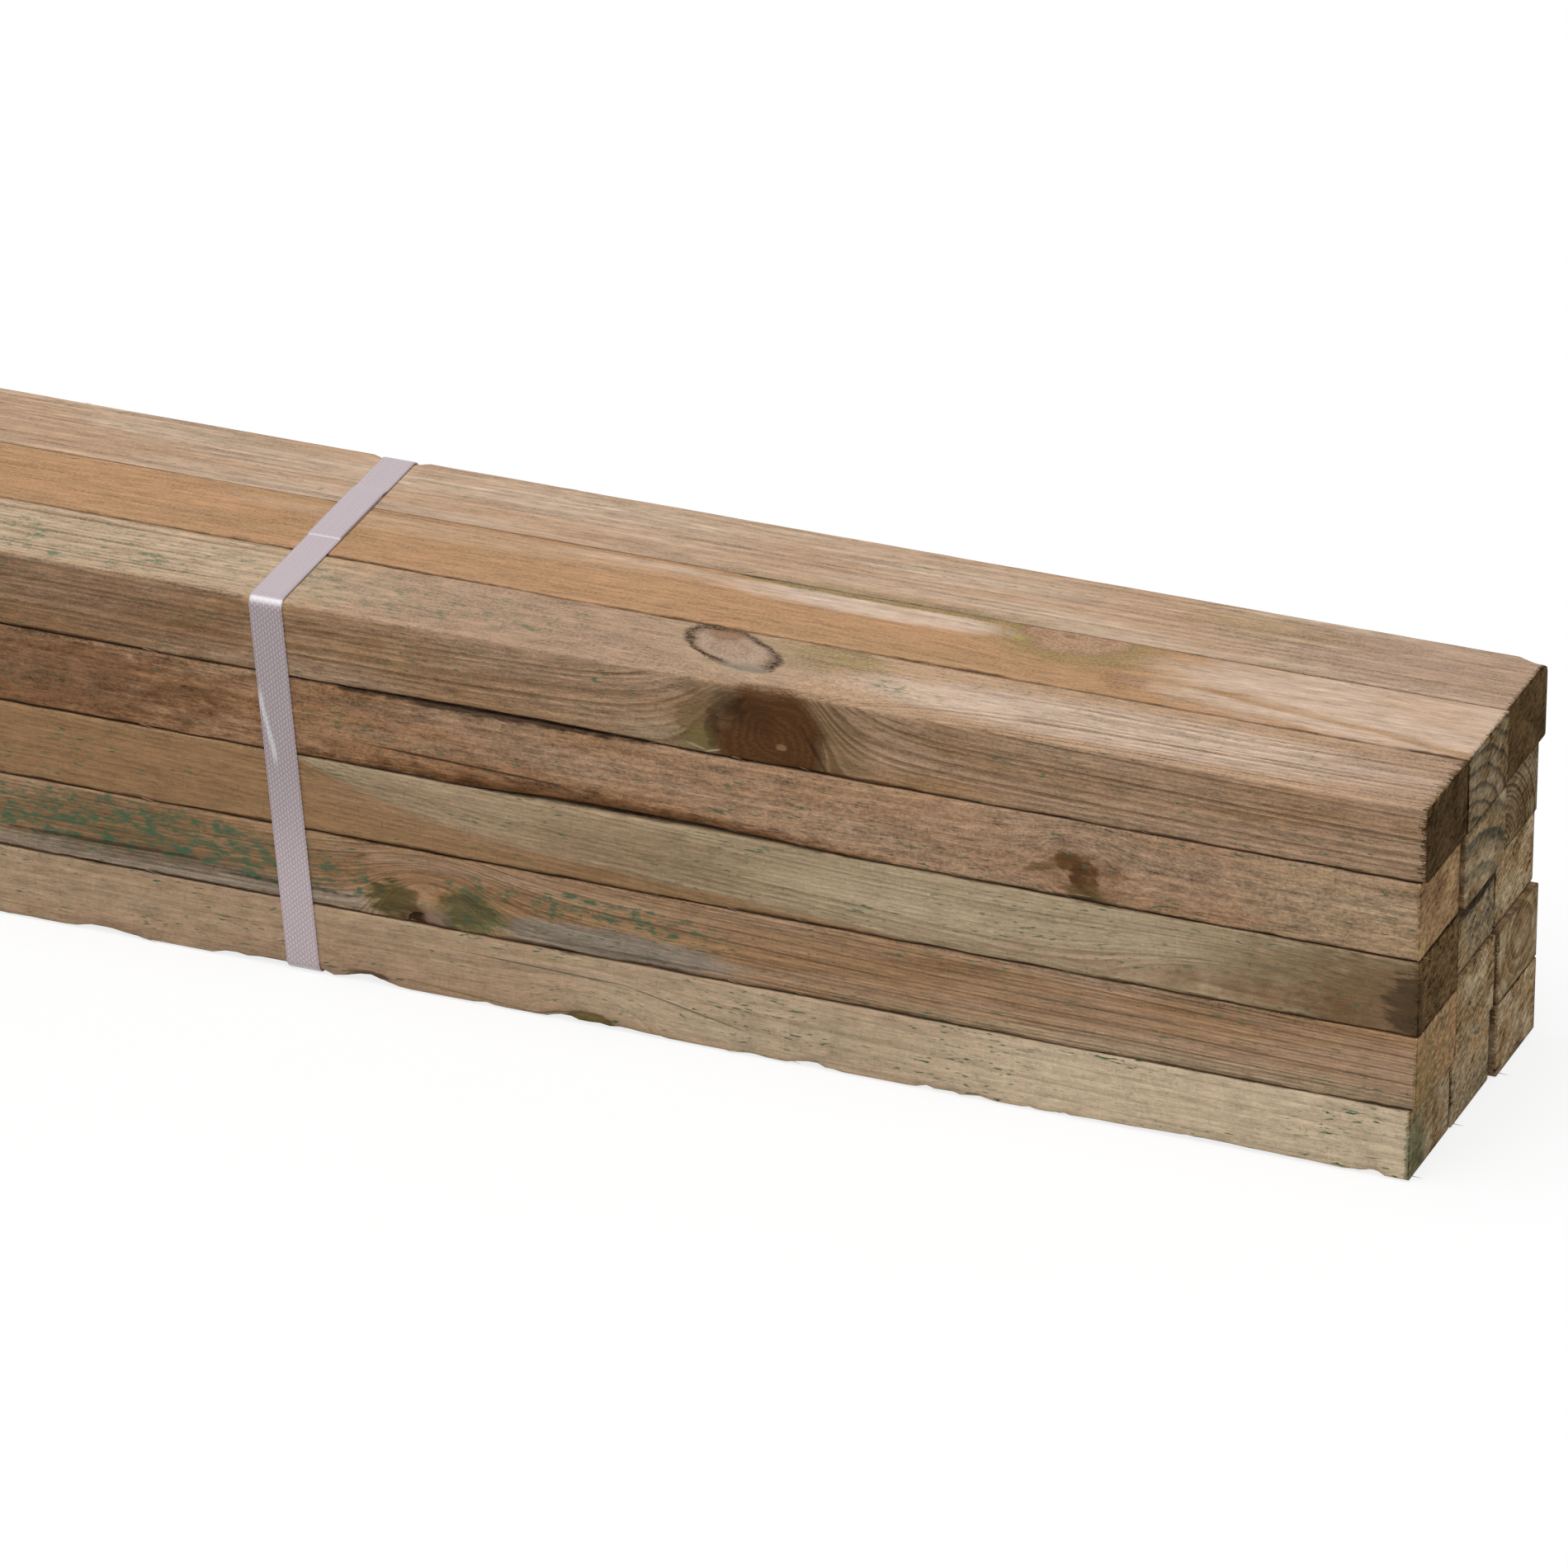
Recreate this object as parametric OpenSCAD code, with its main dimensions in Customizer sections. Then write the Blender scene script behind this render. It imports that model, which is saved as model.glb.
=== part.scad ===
// Bundle of rough-sawn, pressure-treated pine studs, stacked in columns and held by welded straps.
// X runs along the studs, Y across the bundle from front to back, and Z up.
// The origin is on the floor under the middle of the bundle.

/* [Stud] */
// Length that the studs are cut to
stud_length = 2400; // [1200:10:4800]
// Width of the sawn section, across the bundle
stud_width = 50; // [35:1:75]
// Height of the sawn section
stud_height = 38; // [25:1:60]
// Radius of the four long edges
edge_round = 1; // [0.5:0.1:3]

/* [Stack] */
// Studs on top of each other in a column
rows = 5; // [2:1:8]
// Gap that the sawn faces leave between neighbouring studs
stack_gap = 0.3; // [0.1:0.05:0.6]
// Largest difference between the ends of the studs
end_stagger = 9.3; // [2:0.1:20]
// Angle by which the ends were cut out of square, so that each one reaches further at its back edge
end_skew = 3; // [0:0.1:5]
// How far a rough-sawn stud's section may differ from its stated size
saw_tolerance = 1.8; // [0.5:0.1:3]

/* [Strap] */
// Width of the strap
strap_width = 16; // [9:0.5:25]
// Thickness of the strap
strap_thickness = 0.7; // [0.5:0.05:1.2]
// Inside radius of the strap's bends, which crush the bundle's long edges
strap_bend = 4.5; // [3:0.1:6]
// Gap between the strap and the wood
strap_gap = 0.1; // [0.05:0.05:0.3]
// From the end of the bundle to the middle of a strap
strap_inset = 551; // [300:1:580]
// How far a strap leans along the bundle between its lower and its upper run
strap_lean = 15.5; // [2:0.1:24]
// How far a strap strays along the bundle between the front and the back
strap_skew = 5.7; // [1:0.1:12]
// Length of the welded lap on the upper run
lap_length = 48; // [20:1:70]

/* [Wane] */
// Length of the longest stretch of wane, where the bark side of the log shows in an edge
wane_length = 200; // [80:5:300]
// Depth of the deepest wane, measured square to the edge it takes off
wane_depth = 3; // [1:0.1:6]

/* [Hidden] */
column_names = ["front", "middle", "back"];
columns = len(column_names);
strap_names = ["strap_near_end", "strap_far_end"];

function stud_name(c, r) = str("stud_row", r + 1, "_", column_names[c]);
stud_names = [for (c = [0 : columns - 1]) for (r = [0 : rows - 1]) stud_name(c, r)];

column_pitch = stud_width + stack_gap;
stack_width = columns * column_pitch - stack_gap;
stack_height = rows * (stud_height + stack_gap) - stack_gap;
bundle_length = stud_length + end_stagger;
stack_floor = strap_thickness + strap_gap;
// Longer than the bundle is wide or high, for cuts that pass right through it
overrun = stack_width + stack_height;

// How far each stud's end lies back from the bundle's end, as a share of end_stagger.
// Each column has a list, from the top row down.
end_shares = [
    [0.52, 0.80, 0.75, 0.74, 1.00],
    [0.20, 0.23, 0.66, 0.48, 0.66],
    [0.00, 0.32, 0.41, 0.09, 0.08]
];
// How much higher than its column's mean each stud was sawn, as a share of saw_tolerance
height_shares = [
    [-0.1, 1.0, 0.1, 0.0, -1.0],
    [0.0, 0.3, -0.6, 0.3, 0.0],
    [0.0, 0.6, -1.0, 0.4, 0.0]
];
// How much narrower than stated each stud was sawn, as a share of saw_tolerance
narrow_shares = [
    [0.0, 0.2, 0.1, 0.2, 0.0],
    [0.1, 0.1, 0.3, 1.0, 0.9],
    [0.0, 0.3, 0.4, 0.1, 0.0]
];

// Each strap's lean, as a share of strap_lean
lean_shares = [1, -0.5];
// Where the lap's middle lies, as a share of the stack's width from the front
lap_place_share = 0.575;

// Stretches of wane: the stud's column and row, the side (-1 front, 1 back), the face (-1 lower, 1 upper),
// the middle's distance from the stud's end as a share of stud_length, then the shares of wane_length
// and wane_depth
wane_shares = [
    [0, 0, -1, -1, 0.180, 0.95, 0.50],
    [0, 1, -1, -1, 0.150, 1.00, 1.00],
    [0, 4, -1, -1, 0.041, 0.75, 0.60],
    [0, 4, -1, -1, 0.212, 0.12, 0.60],
    [2, 0, 1, 1, 0, 0.45, 0.90]
];

// Straight-sided curves need this many sides to follow a long, shallow wane
wane_sides = 720;
round_sides = 64;

wood_colour = "#a08a6c";
strap_colour = "#d9d3dc";

function share(table, c, r) = table[c % len(table)][r % len(table[0])];
function total(values, k = 0) = k < len(values) ? values[k] + total(values, k + 1) : 0;
function mean_height_share(c) = total([for (r = [0 : rows - 1]) share(height_shares, c, r)]) / rows;
function stud_end(c, r) = bundle_length / 2 - share(end_shares, c, r) * end_stagger;
function sawn_height(c, r) =
    stud_height + saw_tolerance * (share(height_shares, c, r) - mean_height_share(c));
function sawn_width(c, r) = stud_width - saw_tolerance * share(narrow_shares, c, r);
// The back column lies against the back of the bundle, the others against the front of their places
function stud_middle_y(c, r) =
    (c - (columns - 1) / 2) * column_pitch
    + (c == columns - 1 ? 1 : -1) * (stud_width - sawn_width(c, r)) / 2;
function stud_middle_z(c, r) =
    stack_floor + sawn_height(c, r) / 2
    + (r < rows - 1 ? total([for (below = [r + 1 : rows - 1]) sawn_height(c, below) + stack_gap]) : 0);
function is_corner(c, r) = (c == 0 || c == columns - 1) && (r == 0 || r == rows - 1);
function strap_side(i) = i == 0 ? 1 : -1;

// A rectangle with round corners, centred
module round_rectangle(w, h, r) {
    square([w - 2 * r, h], center = true);
    square([w, h - 2 * r], center = true);
    for (side = [-1, 1], face = [-1, 1])
        translate([side * (w / 2 - r), face * (h / 2 - r)])
            circle(r, $fn = round_sides);
}

// A bar of that section along X, centred
module round_bar(length, w, h, r) {
    rotate([90, 0, 90])
        linear_extrude(length, center = true)
            round_rectangle(w, h, r);
}

// The bundle's own outline as a bar, grown all round, at the stack's height above the floor
module stack_bar(length, grow, r) {
    translate([0, 0, stack_floor + stack_height / 2])
        round_bar(length, stack_width + 2 * grow, stack_height + 2 * grow, r);
}

// The leaning slab that one strap lies in, centred on the stack
module strap_slab(i, width) {
    lean = atan(lean_shares[i] * strap_lean / stack_height);
    skew = atan(strap_skew / stack_width);
    translate([strap_side(i) * (bundle_length / 2 - strap_inset), 0, stack_floor + stack_height / 2])
        rotate([0, -lean, -skew])
            cube([width, overrun, overrun], center = true);
}

// What a strap crushes off the bundle's long edges
module crushed_edges(i) {
    intersection() {
        strap_slab(i, strap_width + 2 * strap_gap);
        difference() {
            stack_bar(bundle_length, strap_bend, edge_round);
            stack_bar(bundle_length + overrun, 0, strap_bend);
        }
    }
}

// A shallow scoop along one edge, which runs out at both ends
module wane_scoop(side, face, length, depth) {
    radius = length * length / (8 * depth) + depth / 2;
    rotate([-side * (90 - face * 45), 0, 0])
        translate([0, 0, radius - depth])
            rotate([90, 0, 0])
                cylinder(h = stud_height, r = radius, center = true, $fn = wane_sides);
}

// What the cross-cut saw leaves of a length of stock
module cross_cut(length) {
    rotate([0, 0, -end_skew])
        cube([length * cos(end_skew), length, length], center = true);
}

// One stud, sawn with eased edges and cut to length
module stud(c, r) {
    end = stud_end(c, r);
    w = sawn_width(c, r);
    h = sawn_height(c, r);
    color(wood_colour)
        difference() {
            translate([end - stud_length / 2, stud_middle_y(c, r), stud_middle_z(c, r)])
                intersection() {
                    round_bar(stud_length + w, w, h, edge_round);
                    cross_cut(stud_length);
                }
            if (is_corner(c, r))
                for (i = [0 : len(strap_names) - 1])
                    crushed_edges(i);
            for (wane = wane_shares)
                if (wane[0] == c && wane[1] == r)
                    translate([
                        end - wane[4] * stud_length,
                        stud_middle_y(c, r) + wane[2] * w / 2,
                        stud_middle_z(c, r) + wane[3] * h / 2
                    ])
                        wane_scoop(wane[2], wane[3], wane[5] * wane_length, wane[6] * wane_depth);
        }
}

// One strap, drawn tight round the stack, its ends welded together in a lap on the upper run
module strap(i) {
    color(strap_colour)
        intersection() {
            strap_slab(i, strap_width);
            union() {
                difference() {
                    stack_bar(bundle_length, strap_gap + strap_thickness, strap_bend + strap_thickness);
                    stack_bar(bundle_length + overrun, strap_gap, strap_bend);
                }
                translate([
                    -bundle_length / 2,
                    (lap_place_share - 1 / 2) * stack_width - lap_length / 2,
                    stack_floor + stack_height + strap_gap
                ])
                    cube([bundle_length, lap_length, 2 * strap_thickness]);
            }
        }
}

for (c = [0 : columns - 1], r = [0 : rows - 1])
    stud(c, r);
for (i = [0 : len(strap_names) - 1])
    strap(i);
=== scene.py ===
import math

import bpy
import numpy as np
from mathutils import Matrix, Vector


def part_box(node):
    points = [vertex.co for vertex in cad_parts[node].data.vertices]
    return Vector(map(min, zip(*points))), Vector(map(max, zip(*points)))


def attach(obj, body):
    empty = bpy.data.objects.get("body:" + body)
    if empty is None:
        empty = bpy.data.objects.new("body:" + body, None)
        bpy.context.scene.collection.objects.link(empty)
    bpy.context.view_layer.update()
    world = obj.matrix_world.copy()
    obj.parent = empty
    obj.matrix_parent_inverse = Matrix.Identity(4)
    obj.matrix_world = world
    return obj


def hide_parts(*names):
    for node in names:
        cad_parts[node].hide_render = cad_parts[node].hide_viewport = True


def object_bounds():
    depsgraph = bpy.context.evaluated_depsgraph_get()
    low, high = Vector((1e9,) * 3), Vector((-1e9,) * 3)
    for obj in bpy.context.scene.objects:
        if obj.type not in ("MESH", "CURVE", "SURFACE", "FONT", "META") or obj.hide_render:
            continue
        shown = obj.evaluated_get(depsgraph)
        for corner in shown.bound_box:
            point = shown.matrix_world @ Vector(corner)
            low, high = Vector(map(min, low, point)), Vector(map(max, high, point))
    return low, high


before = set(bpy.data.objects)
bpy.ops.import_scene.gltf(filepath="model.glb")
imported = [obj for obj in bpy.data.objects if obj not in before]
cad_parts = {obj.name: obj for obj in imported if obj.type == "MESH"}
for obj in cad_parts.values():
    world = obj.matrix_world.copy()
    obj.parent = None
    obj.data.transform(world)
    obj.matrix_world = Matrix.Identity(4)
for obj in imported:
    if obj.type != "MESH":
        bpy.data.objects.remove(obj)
CAD_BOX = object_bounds()

bl_info = {
    "name": "Strapped Bundle of Pine Studs",
    "version": (1, 0, 0),
    "blender": (4, 5, 0),
    "location": "View3D > Sidebar > Studs",
    "description": "Rough-sawn, pressure-treated pine studs held by embossed straps",
    "category": "Object",
}

# Lengths in the tables and node trees are in millimetres, and the meshes in metres
MM = 0.001
PER_METRE = 1000.0
BAKE_MAP = "OFBake"
COLUMNS = ("front", "middle", "back")
ROWS = 5
STRAP_ENDS = ("near", "far")
WHITE = (1.0, 1.0, 1.0)
UNIT_CUBE = (1.0, 1.0, 1.0)

# Steps of a stud's mesh, and of one that lies inside the bundle
STEPS_ACROSS, STEPS_UP = 14, 12
HIDDEN_STEPS_ALONG = 150
# How far apart the studs lie in the noise
SEED_STEP = 3.7
# Depths under a face at which a knot no longer has an effect, and at which it has all of it
KNOT_TURNS_GRAIN = (36.0, 12.0)
KNOT_CROWDS_RINGS = (30.0, 12.0)
KNOT_SHOWS = (7.0, 2.5)

# Where a strap's finish changes, in metres: its upper run and its foot, both painted lighter, its bends and
# its painted glint
UPPER_RUN = (0.188, 0.191)
STRAP_FOOT = (0.11, 0.04)
BEND_OVER, BEND_UP = 0.0748, 0.0967
GLINT_UP = 0.127
HIGHLIGHT_WHITE = (0.80, 0.77, 0.80)

PHOTO_LENS_SENSOR = 36.0
FLOOR_REACH = 30
FLOOR_GLOW = 0.80
LAMP_SPREAD = math.radians(50)
LAMP_TURN = (math.radians(13), math.radians(-6), 0)


def length(name, description, default):
    """A setting for a length, in metres."""
    return bpy.props.FloatProperty(name=name, description=description, default=default, unit="LENGTH")


def angle(name, description, degrees):
    """A setting for an angle."""
    return bpy.props.FloatProperty(
        name=name, description=description, default=math.radians(degrees), subtype="ANGLE")


def colour(name, description, *default):
    """A setting for a colour."""
    return bpy.props.FloatVectorProperty(name=name, description=description, default=default, subtype="COLOR")


class PineSettings(bpy.types.PropertyGroup):
    """Sizes and colours of the sawn pine."""

    edge_round: length("Edge Round", "Mean radius of a stud's long edges", 0.0010)
    chip_depth: length("Chip Depth", "Depth of the chips in the long edges", 0.0011)
    face_waver: length("Face Waver", "How far the saw strayed into a face", 0.0005)
    end_skew: angle("End Skew", "How far out of square the ends are cut", 3)
    splinters: bpy.props.IntProperty(
        name="Splinters", description="Splinters for each square metre of long edge", default=5200, min=0)
    steps_along: bpy.props.IntProperty(
        name="Steps Along", description="Points along a stud that shows", default=400, min=40)
    pale: colour("Pale Wood", "Bleached, pinkish sapwood", 0.58, 0.440, 0.322)
    tan: colour("Tan Wood", "Pink tan sapwood", 0.52, 0.345, 0.225)
    orange: colour("Orange Wood", "Orange-brown wood", 0.47, 0.262, 0.138)
    brown: colour("Brown Wood", "Brown heartwood", 0.432, 0.256, 0.132)
    olive: colour("Olive Wood", "Wood tinged by the preservative", 0.50, 0.39, 0.245)
    grey: colour("Grey Wood", "Weathered wood", 0.38, 0.315, 0.245)
    line: colour("Ring Line", "Latewood lines", 0.205, 0.120, 0.062)
    green: colour("Preservative Green", "Preservative left on the face", 0.085, 0.165, 0.095)
    moss: colour("Olive Stain", "Olive stain beside knots", 0.235, 0.190, 0.070)
    heart: colour("Knot Heart", "Dark knot wood", 0.155, 0.070, 0.028)
    rim: colour("Knot Rim", "Bark ring and cracks", 0.030, 0.018, 0.012)
    ash: colour("Ashen Knot", "Bleached face of a knot", 0.345, 0.235, 0.175)
    end: colour("End Grain", "Sawn end", 0.46, 0.310, 0.160)
    bark: colour("Bark Brown", "Wane and dark stains", 0.235, 0.115, 0.055)
    cream: colour("Cream Wood", "Pale olive sapwood", 0.56, 0.435, 0.285)
    bleach: colour("Bleached Wood", "Whitest streaks", 0.66, 0.505, 0.395)
    chalk: colour("Chalky Wood", "Pale, dry sapwood", 0.78, 0.625, 0.440)
    umber: colour("Umber", "Dark weathered ends", 0.23, 0.145, 0.068)
    # Soiling and painted shade where the studs meet
    grime: colour("Joint Dirt and Shade", "Dirt and painted shade in the joints", 0.085, 0.048, 0.024)
    slate: colour("Slate Grey", "Dark rings on weathered ends", 0.155, 0.135, 0.092)
    lichen: colour("Yellow Green", "Yellow-green spots", 0.42, 0.36, 0.09)


class StrapSettings(bpy.types.PropertyGroup):
    """Sizes and colour of the straps."""

    width: length("Width", "Width of the strap", 0.016)
    thickness: length("Thickness", "Thickness of the strap", 0.0007)
    bend: length("Bend", "Inside radius of the strap's bends", 0.0045)
    gap: length("Gap", "Gap between strap and wood", 0.0001)
    lean: length("Lean", "Lean between the lower and the upper run", 0.0155)
    skew: length("Skew", "Stray between the front and the back", 0.0057)
    lap_start: length("Lap Start", "Place across the bundle where the lap starts", 0.0353)
    lap_length: length("Lap Length", "Length of the welded lap", 0.048)
    emboss_depth: length("Emboss Depth", "Depth of the pressed weave", 0.00022)
    plastic: colour("Plastic", "Lilac white plastic", 0.535, 0.448, 0.475)


class StageSettings(bpy.types.PropertyGroup):
    """Camera, light and floor."""

    eye: bpy.props.FloatVectorProperty(
        name="Camera Place", description="Where the camera stands", default=(2.5552, -4.4692, 2.7625),
        subtype="TRANSLATION", unit="LENGTH")
    azimuth: angle("Azimuth", "Camera's turn round the bundle", 20.699)
    elevation: angle("Elevation", "Camera's height above the horizon", 29.122)
    lens: bpy.props.FloatProperty(name="Lens", description="Focal length in millimetres", default=274.8)
    lamp: bpy.props.FloatProperty(name="Lamp", description="Strength of the overhead light", default=2.40)
    sky: bpy.props.FloatProperty(name="Sky", description="Strength of the light from all round", default=0.27)
    floor: colour("Floor", "Colour of the floor", 0.62, 0.61, 0.60)


class Wire:
    """A node's output, so that a rule for a shape or a finish reads as a sum."""

    def __init__(self, web, socket):
        self.web = web
        self.socket = socket

    def __add__(self, other):
        return self.web.math("ADD", self, other)

    def __sub__(self, other):
        return self.web.math("SUBTRACT", self, other)

    def __rsub__(self, other):
        return self.web.math("SUBTRACT", other, self)

    def __mul__(self, other):
        return self.web.math("MULTIPLY", self, other)

    def __truediv__(self, other):
        return self.web.math("DIVIDE", self, other)

    def __rtruediv__(self, other):
        return self.web.math("DIVIDE", other, self)

    __radd__ = __add__
    __rmul__ = __mul__


class Web:
    """A node tree that is being wired up."""

    def __init__(self, tree):
        self.tree = tree

    def node(self, kind, inputs=None, **settings):
        made = self.tree.nodes.new(kind)
        for key, value in settings.items():
            setattr(made, key, value)
        for key, value in (inputs or {}).items():
            self.feed(made.inputs[key], value)
        return made

    def feed(self, socket, value):
        if isinstance(value, Wire):
            self.tree.links.new(value.socket, socket)
        else:
            socket.default_value = value

    def take(self, kind, inputs=None, output=0, **settings):
        return Wire(self, self.node(kind, inputs, **settings).outputs[output])

    def math(self, operation, *values):
        return self.take("ShaderNodeMath", dict(enumerate(values)), operation=operation)

    def root(self, value):
        return self.math("SQRT", value)

    def size(self, value):
        return self.math("ABSOLUTE", value)

    def least(self, a, b):
        return self.math("MINIMUM", a, b)

    def most(self, a, b):
        return self.math("MAXIMUM", a, b)

    def vector(self, x, y, z):
        return self.take("ShaderNodeCombineXYZ", {0: x, 1: y, 2: z})

    def parts(self, vector):
        made = self.node("ShaderNodeSeparateXYZ", {0: vector})
        return [Wire(self, socket) for socket in made.outputs]

    def ease(self, value, low, high):
        """0 below low, 1 above high, or the other way round where low is the larger."""
        return self.take("ShaderNodeMapRange", {0: value, 1: low, 2: high}, interpolation_type="SMOOTHSTEP")

    def noise(self, x, y, z, detail=1.0, roughness=0.5):
        return self.take("ShaderNodeTexNoise", {
            "Vector": self.vector(x, y, z), "Scale": 1.0, "Detail": detail, "Roughness": roughness})

    def blend(self, share, a, b):
        return self.take("ShaderNodeMix", {0: share, 6: rgba(a), 7: rgba(b)}, output=2, data_type="RGBA")

    def shade(self, tone, factor):
        return self.take("ShaderNodeVectorMath", {0: tone, "Scale": factor}, operation="SCALE")


def rgba(tone):
    """A colour for a socket: a wire as it is, and three numbers with an alpha."""
    return tone if isinstance(tone, Wire) else (*tuple(tone)[:3], 1.0)


def plain_material(name):
    """A material with one shader, and its web and shader."""
    material = bpy.data.materials.new(name)
    material.use_nodes = True
    web = Web(material.node_tree)
    shader = next(n for n in material.node_tree.nodes if n.type == "BSDF_PRINCIPLED")
    return material, web, shader


def set_finish(shader, roughness, gloss):
    """Sets a shader's roughness and how strongly it mirrors."""
    shader.inputs["Roughness"].default_value = roughness
    shader.inputs["Specular IOR Level"].default_value = gloss


def shaping_tree(name, inputs):
    """A Geometry Nodes tree with named inputs, its web and a wire for each input."""
    tree = bpy.data.node_groups.new(name, "GeometryNodeTree")
    tree.interface.new_socket("Geometry", in_out="OUTPUT", socket_type="NodeSocketGeometry")
    for kind, labels in inputs.items():
        for label in labels:
            tree.interface.new_socket(label, in_out="INPUT", socket_type="NodeSocket" + kind)
    web = Web(tree)
    group = web.node("NodeGroupInput")
    wires = {label: Wire(web, group.outputs[label]) for labels in inputs.values() for label in labels}
    return tree, web, wires


def close_tree(web, geometry, material):
    """Ends a tree in plain faces with their material."""
    real = web.take("GeometryNodeRealizeInstances", {"Geometry": geometry})
    smooth = web.take("GeometryNodeSetShadeSmooth", {"Geometry": real})
    done = web.take("GeometryNodeSetMaterial", {"Geometry": smooth, "Material": material})
    web.node("NodeGroupOutput", {"Geometry": done})


def shaped_mesh(name, tree, values):
    """A new object with the mesh that a tree makes from these inputs."""
    made = bpy.data.objects.new(name, bpy.data.meshes.new(name))
    bpy.context.scene.collection.objects.link(made)
    modifier = made.modifiers.new(tree.name, "NODES")
    modifier.node_group = tree
    sockets = {s.name: s.identifier for s in tree.interface.items_tree if s.in_out == "INPUT"}
    for label, value in values.items():
        modifier[sockets[label]] = value
    made.update_tag()
    graph = bpy.context.evaluated_depsgraph_get()
    mesh = bpy.data.meshes.new_from_object(
        made.evaluated_get(graph), preserve_all_data_layers=True, depsgraph=graph)
    if not mesh.polygons:
        raise RuntimeError(f"{name}: the tree {tree.name} made no faces")
    made.modifiers.clear()
    made.data = mesh
    mesh.name = name
    return made


# How each stud was sawn and how it looks. Tones name colours of PineSettings.
# pith is the log's middle, across and up from the stud's own middle, and drift how it strays along the stud.
# end_pith is the rings' middle on the end, with their width, where it differs.
# A knot's flow is the oval that the grain runs round: from the end, across, half along on the near side, half
# across, half along on the far side.
# A stain is (from the end, across, up, its three half sizes, tone, share, raggedness), and may end in a slope.
# Marks are like stains, but lie over the preservative, the knots and the sawn end. A few are painted shade,
# noted where they stand.
# A drench is where preservative lies thick, and plain is where the rings don't show. Both are (from the end,
# across, up, their three half sizes, share).
# A border is (from the end, reach, height, rise, tone): below its curve the wood has that tone.
# A wane is (side, face, middle from the end, half length, depth).
PLAIN_STUD = dict(
    tone="tan", second="brown", top="tan", top_share=0.0, pith=(38, -46), drift=(0.0, 0.006), taper=0.0,
    pitch=2.6, waver=5.0, late=0.12, lines=0.8, line_tone="line", streak=0.9, fibre=1.0, mottle=0.5,
    flecks=0.6, fuzz=0.6, torn=0.5, end="end", end_second="olive", end_share=1.0, end_rings=0.5,
    end_tone="line", end_pith=None, speckle=2.6, saw=2.4, crumble=12.0, tight=(0, 0), bow=0.0, ragged=0.0,
    border=None, knots=(), stains=(), drench=(), plain=(), marks=(), wanes=())
PLAIN_KNOT = dict(
    core="heart", second="bark", second_share=0.4, rim=0.5, halo="olive", halo_share=0.4, crowd=2.0,
    fan=0.0, rings=3.0, ring_share=0.2, tilt=0.0, rough=0.4, lump=0.4, soft=0.0, grit=0.7, dark=1.0,
    shown=1.0)
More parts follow.
